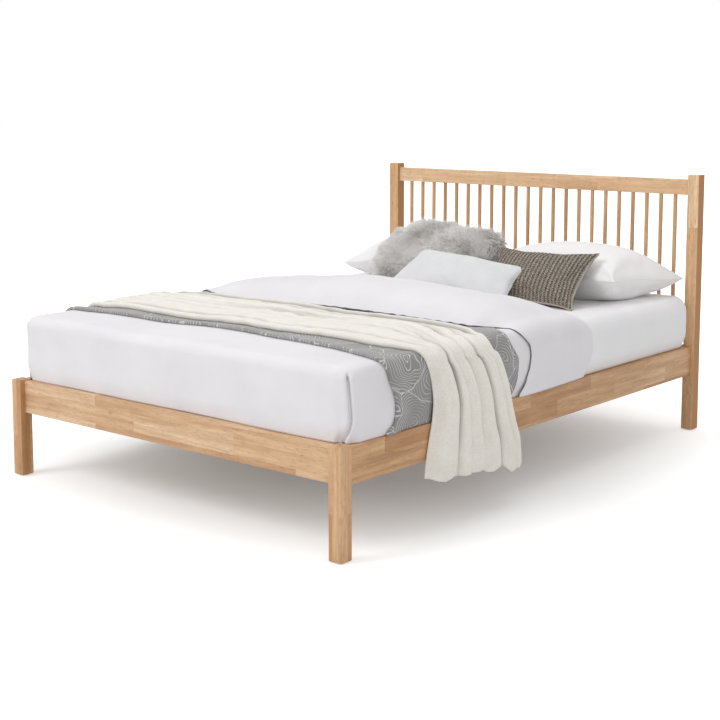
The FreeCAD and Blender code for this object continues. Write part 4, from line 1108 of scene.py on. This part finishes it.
def blow_up(piece, pressure, frames, limit):
    """Runs a cloth simulation with pressure inside and no gravity. No point moves further than "limit"."""
    before = points_of(piece)
    mod = piece.modifiers.new("cloth", "CLOTH")
    s = mod.settings
    s.quality = 5
    s.mass = 0.25
    s.tension_stiffness = s.compression_stiffness = 12.0
    s.shear_stiffness = 5.0
    s.bending_stiffness = 0.3
    s.tension_damping = s.compression_damping = s.shear_damping = 12.0
    s.air_damping = 4.0
    s.use_pressure = True
    s.uniform_pressure_force = pressure
    s.effector_weights.gravity = 0.0
    mod.collision_settings.use_collision = False
    mod.point_cache.frame_start = 1
    mod.point_cache.frame_end = frames
    for f in range(1, frames + 1):
        bpy.context.scene.frame_set(f)
    settle(piece)
    bpy.context.scene.frame_set(1)
    after = points_of(piece)
    low, high = after.min(0), after.max(0)
    size = before.max(0) - before.min(0)
    after = (after - (low + high) / 2) * (size / (high - low))
    step = after - before
    far = np.linalg.norm(step, axis=1)
    set_points(piece, before + step * np.minimum(1.0, limit / np.maximum(far, 1e-9))[:, None])


def pucker(piece, flat, length, width, depth, seed):
    """Creases that fan out from the corners of a cushion, and gathers along its seams."""
    q = points_of(piece)
    u, v = flat[:, 0], flat[:, 1]
    into_x, into_y = (1 - np.abs(u)) * length / 2, (1 - np.abs(v)) * width / 2
    around = np.arctan2(into_y, into_x)
    near_tip = bell(np.hypot(into_x, into_y), 0.0, 0.30 * width)
    fan = np.sin(around * 13.0 + 2.0 * np.sign(u) + np.sign(v)) * near_tip
    seam = np.exp(-np.minimum(into_x, into_y) / 0.022)
    along = np.where(into_x < into_y, q[:, 1], q[:, 0])
    gathers = np.sin(along * 150.0 + 2.5 * ripples(q, seed + 1, 0.2)) * seam
    push(piece, depth * (fan + 0.45 * gathers + 0.7 * ripples(q, seed + 2, 0.12)) * np.abs(flat[:, 2]))


def cushion(name, length, width, thickness, gap, seed, draw, powers, corner=0.0, crease=0.0, levels=1):
    """A filled cushion that lies flat round the origin, and the points of its seam in order."""
    flat, faces, ring = envelope(length, width, gap)
    verts = filled(flat, length, width, thickness, corner, draw, powers)
    verts[:, 2] += 0.0012 * ripples(verts, seed, 0.09) * np.abs(flat[:, 2])
    piece = make(name, verts, faces, uv=flat[:, :2] * [length / 2, width / 2])
    blow_up(piece, pressure=4.0, frames=20, limit=0.010)
    if crease:
        pucker(piece, flat, length, width, crease, seed)
    subdivide(piece, levels)
    return piece, ring


def turn(points, lean, roll, about):
    """Rolls in its own plane, leans back, then turns about the upright. Degrees."""
    def matrix(axis, degrees):
        c, s = math.cos(math.radians(degrees)), math.sin(math.radians(degrees))
        i, j = [(1, 2), (2, 0), (0, 1)][axis]
        m = np.eye(3)
        m[i, i] = m[j, j] = c
        m[i, j], m[j, i] = -s, s
        return m
    return points @ (matrix(2, about) @ matrix(0, lean) @ matrix(2, roll)).T


def way_out(tree, point, limit):
    """The nearest place on a closed surface and its normal, for a point inside it. None for others."""
    where, normal, _, far = tree.find_nearest(point)
    if where is None or far > limit or (point - where).dot(normal) >= 0:
        return None
    ahead = Vector((0.12, -0.07, 0.99)).normalized()
    start, crossings = point.copy(), 0
    while crossings < 12:
        hit = tree.ray_cast(start, ahead)[0]
        if hit is None:
            break
        crossings += 1
        start = hit + ahead * 1e-5
    return (where, normal) if crossings % 2 else None


def keep_out(piece, tree, gap, limit=0.07):
    """Pushes the part of a soft piece that lies inside a neighbour out of it, and eases the rest along."""
    p = points_of(piece)
    moved = np.zeros(len(p), bool)
    step = np.zeros_like(p)
    for i in range(len(p)):
        found = way_out(tree, Vector(p[i]), limit)
        if found:
            step[i] = np.array(found[0] + found[1] * gap) - p[i]
            moved[i] = True
    a, b = read(piece.data.edges, "vertices", 2, int).T
    degree = np.bincount(np.concatenate([a, b]), minlength=len(p)).astype(float)
    for _ in range(10):
        total = np.zeros_like(p)
        np.add.at(total, a, step[b])
        np.add.at(total, b, step[a])
        step = np.where(moved[:, None], step, total / np.maximum(degree, 1)[:, None] * 0.96)
    set_points(piece, p + step)


# the gap left between soft pieces that touch
TOUCH = 0.0012


def rest_on_bed(piece):
    p = points_of(piece)
    p[:, 2] = np.maximum(p[:, 2], SHEET_TOP + TOUCH)
    set_points(piece, p)


PILLOW_WIDTH = 0.444
PILLOW_THICK = 0.214
PILLOW_RISE = 0.086
seams, pillow_trees = [], []
for side, name in ((1, "right"), (-1, "left")):
    low, high = np.array(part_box("pillow_" + name))
    length = (high - low)[0]
    pillow, ring = cushion(
        "pillow_%s_case" % name, length + 0.004, PILLOW_WIDTH, PILLOW_THICK, gap=0.012, seed=61 + side,
        draw=0.016, powers=(2.5, 2.1, 0.74), crease=0.0016,
    )
    p = points_of(pillow)
    to_tip = smooth(np.abs(2 * p[:, 0] / length), 0.4, 1.0)
    to_head = smooth(p[:, 1], -0.16, 0.18)
    # the corner at the front of the right pillow is drawn in, that of the left one hangs down
    front_lift, draw_in = (0.004, 0.040) if side > 0 else (-0.022, 0.0)
    p[:, 2] += (front_lift * (1 - to_head) - 0.022 * to_head) * to_tip
    p[:, 0] -= draw_in * smooth(2 * p[:, 0] / length, 0.5, 1.0) * (1 - to_head)
    middle_x, middle_y, _ = (high + low) / 2
    set_points(pillow, p + [middle_x, middle_y - 0.004, SHEET_TOP + PILLOW_RISE])
    rest_on_bed(pillow)
    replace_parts(dress(pillow, PILLOW_WHITE), "pillow_" + name)
    seams.append((pillow, ring, 0.0016, PILLOW_WHITE, "pillow_cotton"))
    pillow_trees.append(tree_of(pillow))

PILLOW_FRONT = BED_HEAD - PILLOW_THICK - 0.215


def stance(piece, width, lean, roll, about, across_bed, from_pillows, rise):
    """Stands a cushion on the bed in front of the pillows. Angles in degrees."""
    angle = math.radians(lean)
    y = PILLOW_FRONT - from_pillows + width / 2 * math.cos(angle)
    p = turn(points_of(piece), lean, roll, about)
    set_points(piece, p + [across_bed, y, SHEET_TOP + rise + width / 2 * math.sin(angle)])


def flat_places(piece):
    """Each point's place on its flat panel."""
    places = np.zeros((len(piece.data.vertices), 2))
    places[corner_points(piece.data)] = read(piece.data.uv_layers[0].data, "uv", 2)
    return places


# knitted cushion: columns of stitches pressed into the form
KNIT_LENGTH = 0.408
KNIT_WIDTH = 0.275
KNIT_RELIEF = 0.0048
knit, knit_ring = cushion(
    "knit_cushion_cover", KNIT_LENGTH, KNIT_WIDTH, thickness=0.100, gap=0.0075, seed=71,
    draw=0.016, powers=(2.8, 2.4, 0.62), levels=2,
)
place_u, place_v = flat_places(knit).T
column = place_u / COLUMN
number = np.floor(column)
from_middle = np.abs(column - number - 0.5)
rib = np.sin(math.pi * (column - number)) ** 0.7
wave = place_v / STITCH + np.where(number % 2 == 0, 0.0, 0.5) + from_middle * 0.9
stitch = 0.5 - 0.5 * np.cos(2 * math.pi * wave)
hole = smooth(from_middle * 2, 0.35, 0.85) * smooth(1 - stitch, 0.35, 0.8)
relief = 1 - 0.95 * hole - 0.30 * (1 - rib) - 0.22 * (1 - stitch)
from_rim = np.minimum(KNIT_LENGTH / 2 - np.abs(place_u), KNIT_WIDTH / 2 - np.abs(place_v))
push(knit, (relief - 0.7) * KNIT_RELIEF * smooth(from_rim, 0.0, 0.010))
stance(knit, 0.268, lean=41.0, roll=0.0, about=4.0, across_bed=0.350, from_pillows=0.172, rise=0.002)

fur_base, _ = cushion(
    "fur_cushion_base", length=0.492, width=0.318, thickness=0.122, gap=0.012, seed=81,
    draw=0.0, powers=(3.2, 2.8, 0.55), corner=0.085,
)
stance(fur_base, 0.330, lean=38.0, roll=-6.0, about=3.0, across_bed=-0.112, from_pillows=0.165, rise=0.016)

# pale cushion: its top right corner hangs down and its bottom left one is drawn out
PALE_LENGTH = 0.440
PALE_WIDTH = 0.226
pale, pale_ring = cushion(
    "pale_cushion_cover", PALE_LENGTH, PALE_WIDTH, thickness=0.108, gap=0.009, seed=91,
    draw=0.004, powers=(3.2, 2.4, 0.62), corner=0.034, crease=0.0009,
)
p = points_of(pale)
to_right, to_top = p[:, 0] / (PALE_LENGTH / 2), p[:, 1] / (PALE_WIDTH / 2)
p[:, 1] -= 0.024 * smooth(to_right, -0.2, 1.0) * smooth(to_top, -0.6, 1.0)
p[:, 0] -= 0.040 * smooth(-to_right, 0.0, 1.0) * smooth(-to_top, -0.8, 1.0)
set_points(pale, p)
stance(pale, 0.220, lean=37.0, roll=-5.5, about=11.0, across_bed=0.117, from_pillows=0.285, rise=0.022)

for piece, neighbours in (
    (fur_base, pillow_trees),
    (knit, pillow_trees + [tree_of(fur_base)]),
    (pale, [tree_of(fur_base), tree_of(knit)]),
):
    rest_on_bed(piece)
    for tree in neighbours:
        keep_out(piece, tree, TOUCH)
    rest_on_bed(piece)

# a welt along each seam
seams.append((knit, knit_ring, 0.0034, KNIT_EDGE, "cushion_knit"))
seams.append((pale, pale_ring, 0.0022, PALE_NAP, "cushion_pale"))
for piece, ring, radius, yarn, slot in seams:
    path = points_of(piece)[ring]
    path[:, 2] = np.maximum(path[:, 2], SHEET_TOP + radius + 0.0005)
    welt = make(piece.name.rsplit("_", 1)[0] + "_seam", *tube(path, radius, 6, closed=True))
    dress(welt, yarn)

# ---------------------------------------------------------------- pile of the fur cushion


STRANDS = 36000
STRAND_LENGTH = 0.041
STRAND_WIDTH = 0.00085
STRANDS_PER_CLUMP = 14


def fur(piece, name, count, length, seed, keep_clear):
    """Clumped tapering strands, as one mesh, that lean down the cushion and part here and there."""
    rng = np.random.RandomState(seed)
    mesh = piece.data
    mesh.calc_loop_triangles()
    tris = np.array([t.vertices[:] for t in mesh.loop_triangles])
    p, nrm = points_of(piece), normals_of(piece)
    a, b, c = p[tris[:, 0]], p[tris[:, 1]], p[tris[:, 2]]
    area = np.linalg.norm(np.cross(b - a, c - a), axis=1)
    facing = np.where(nrm[tris[:, 0]][:, 2] < -0.45, 0.15, 1.0)
    pick = rng.choice(len(tris), count, p=area * facing / (area * facing).sum())
    r1, r2 = np.sqrt(rng.rand(count)), rng.rand(count)
    w = np.stack([1 - r1, r1 * (1 - r2), r1 * r2], 1)
    root = (w[:, :, None] * p[tris[pick]]).sum(1)
    out = (w[:, :, None] * nrm[tris[pick]]).sum(1)
    out /= np.linalg.norm(out, axis=1)[:, None]
    swirl = np.stack([ripples(root, seed + k, 0.16) for k in (1, 2, 3)], 1)
    comb = swirl * 0.55 + np.array([-0.35, -0.15, -0.55])
    comb -= out * (comb * out).sum(1)[:, None]
    # each clump gathers to a centre, which is a speck of a triangle so that a tree can find the nearest
    centres = root[rng.choice(count, count // STRANDS_PER_CLUMP)]
    speck = np.array([[0, 0, 0], [1e-4, 0, 0], [0, 1e-4, 0]])
    specks = (centres[:, None] + speck).reshape(-1, 3)
    tree = BVHTree.FromPolygons([Vector(q) for q in specks], np.arange(len(specks)).reshape(-1, 3).tolist())
    hub = np.array([tree.find_nearest(Vector(q))[0] for q in root])
    own = length * rng.uniform(0.55, 1.15, count)[:, None]
    segments = 5
    path = [root - out * 0.001]
    here = root.copy()
    heading = out * 0.75 + comb * 0.5 + rng.normal(size=(count, 3)) * 0.16
    for s in range(1, segments + 1):
        t = s / segments
        gather = (hub + out * own * t - here) * 0.22
        heading = heading + comb * 0.34 + gather / length * 0.5 + rng.normal(size=(count, 3)) * 0.10
        heading /= np.linalg.norm(heading, axis=1)[:, None]
        here = here + heading * own / segments
        path.append(here.copy())
    path = np.stack(path, 1)
    bad = np.zeros(count, bool)
    for tree in keep_clear:
        for i in range(count):
            bad[i] = bad[i] or any(way_out(tree, Vector(q), 0.05) for q in (path[i, -1], path[i, 3]))
    low = path[:, :, 2].min(1) < SHEET_TOP + 0.001
    path = path[~(bad | low)]
    n = len(path)
    width = STRAND_WIDTH * rng.uniform(0.7, 1.5, n)
    taper = np.array([1.0, 1.1, 0.95, 0.75, 0.5, 0.1])
    ahead = path[:, -1] - path[:, 0]
    side = np.cross(ahead, rng.normal(size=(n, 3)))
    side /= np.linalg.norm(side, axis=1)[:, None]
    other = np.cross(ahead, side)
    other /= np.linalg.norm(other, axis=1)[:, None]
    corners = [side, -0.5 * side + 0.87 * other, -0.5 * side - 0.87 * other]
    rings = np.stack([path + (width[:, None] * taper)[:, :, None] * q[:, None, :] for q in corners], 2)
    verts = rings.reshape(-1, 3)
    per = (segments + 1) * 3
    pattern = []
    for s in range(segments):
        for j in range(3):
            m = (j + 1) % 3
            pattern.append((s * 3 + j, (s + 1) * 3 + j, (s + 1) * 3 + m, s * 3 + m))
    pattern = np.array(pattern)
    faces = (np.arange(n)[:, None, None] * per + pattern[None]).reshape(-1, 4)
    heights = np.tile(np.repeat(np.linspace(0, 1, segments + 1), 3), n)
    return make(name, verts, faces.tolist(), uv=np.stack([heights * 0, heights], 1))


strands = fur(
    fur_base, "fur_cushion_pile", STRANDS, STRAND_LENGTH, seed=101,
    keep_clear=[tree_of(pale), tree_of(knit)] + pillow_trees,
)
# the skin gets the painted shade of the strands near their roots
fur_base.data.uv_layers[0].data.foreach_set("uv", np.tile([0.0, 0.12], len(fur_base.data.loops)))

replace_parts(dress(fur_base, FUR), "fur_cushion")
dress(strands, FUR)
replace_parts(dress(knit, KNIT_YARN), "knit_cushion")
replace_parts(dress(pale, PALE_NAP), "pale_cushion")

# ---------------------------------------------------------------- floor, light and background

WHITE = (1.0, 1.0, 1.0, 1.0)


def seen(n):
    """1 for rays from the camera, reflections and transmission, which see plain white, and 0 for others."""
    path = n.node("LightPath").outputs
    direct = n.math("MAXIMUM", path["Is Camera Ray"], path["Is Glossy Ray"])
    return n.math("MAXIMUM", direct, path["Is Transmission Ray"])


FLOOR_HALF = 40.0
FLOOR_MIDDLE = (-0.06, 0.0, 0.0)
AMBIENT = 0.66
floor_mesh = bpy.data.meshes.new("floor")
floor_mesh.from_pydata(
    [(FLOOR_HALF * x, FLOOR_HALF * y, 0) for x, y in ((-1, -1), (1, -1), (1, 1), (-1, 1))], [], [(0, 1, 2, 3)]
)
floor = bpy.data.objects.new("floor", floor_mesh)
floor.location = FLOOR_MIDDLE
bpy.context.collection.objects.link(floor)

# the floor brightens to plain white away from the bed, where its lamps no longer reach
n = new_material("studio_floor")
distance = n.node("VectorMath", operation="LENGTH", Vector=n.coord()).outputs["Value"]
brighter = n.node(
    "MapRange", interpolation_type="SMOOTHSTEP", Value=distance,
    From_Min=0.3, From_Max=2.6, To_Min=0.15, To_Max=1.0,
).outputs["Result"]
floor_mesh.materials.append(n.finish(
    (0.80, 0.80, 0.80, 1), 1.0, Specular_IOR_Level=0.0, Emission_Color=WHITE,
    Emission_Strength=n.math("MULTIPLY", brighter, seen(n)),
))

world = bpy.data.worlds.new("studio")
bpy.context.scene.world = world
n = Nodes(world)
shown = n.node("MixShader", Fac=seen(n))
for i, strength in ((1, AMBIENT), (2, 1.0)):
    n.put(n.node("Background", Color=WHITE, Strength=strength).outputs[0], shown.inputs[i])
n.put(shown.outputs[0], n.tree.nodes["World Output"].inputs["Surface"])


def lamp(name, location, target, size, power):
    data = bpy.data.lights.new(name, "AREA")
    data.shape = "DISK"
    data.size = size
    data.energy = power
    light = bpy.data.objects.new(name, data)
    light.location = location
    light.rotation_euler = (Vector(target) - Vector(location)).to_track_quat("-Z", "Y").to_euler()
    bpy.context.collection.objects.link(light)


lamp("key", (-1.9, -4.6, 4.5), (0, 0, 0.4), size=3.0, power=122.0)
lamp("top", (0.3, 1.1, 4.7), (0, 0.2, 0.4), size=4.0, power=36.0)
lamp("fill", (4.6, -3.0, 2.2), (0, 0, 0.4), size=2.6, power=24.0)

bpy.context.scene.view_settings.view_transform = "Standard"
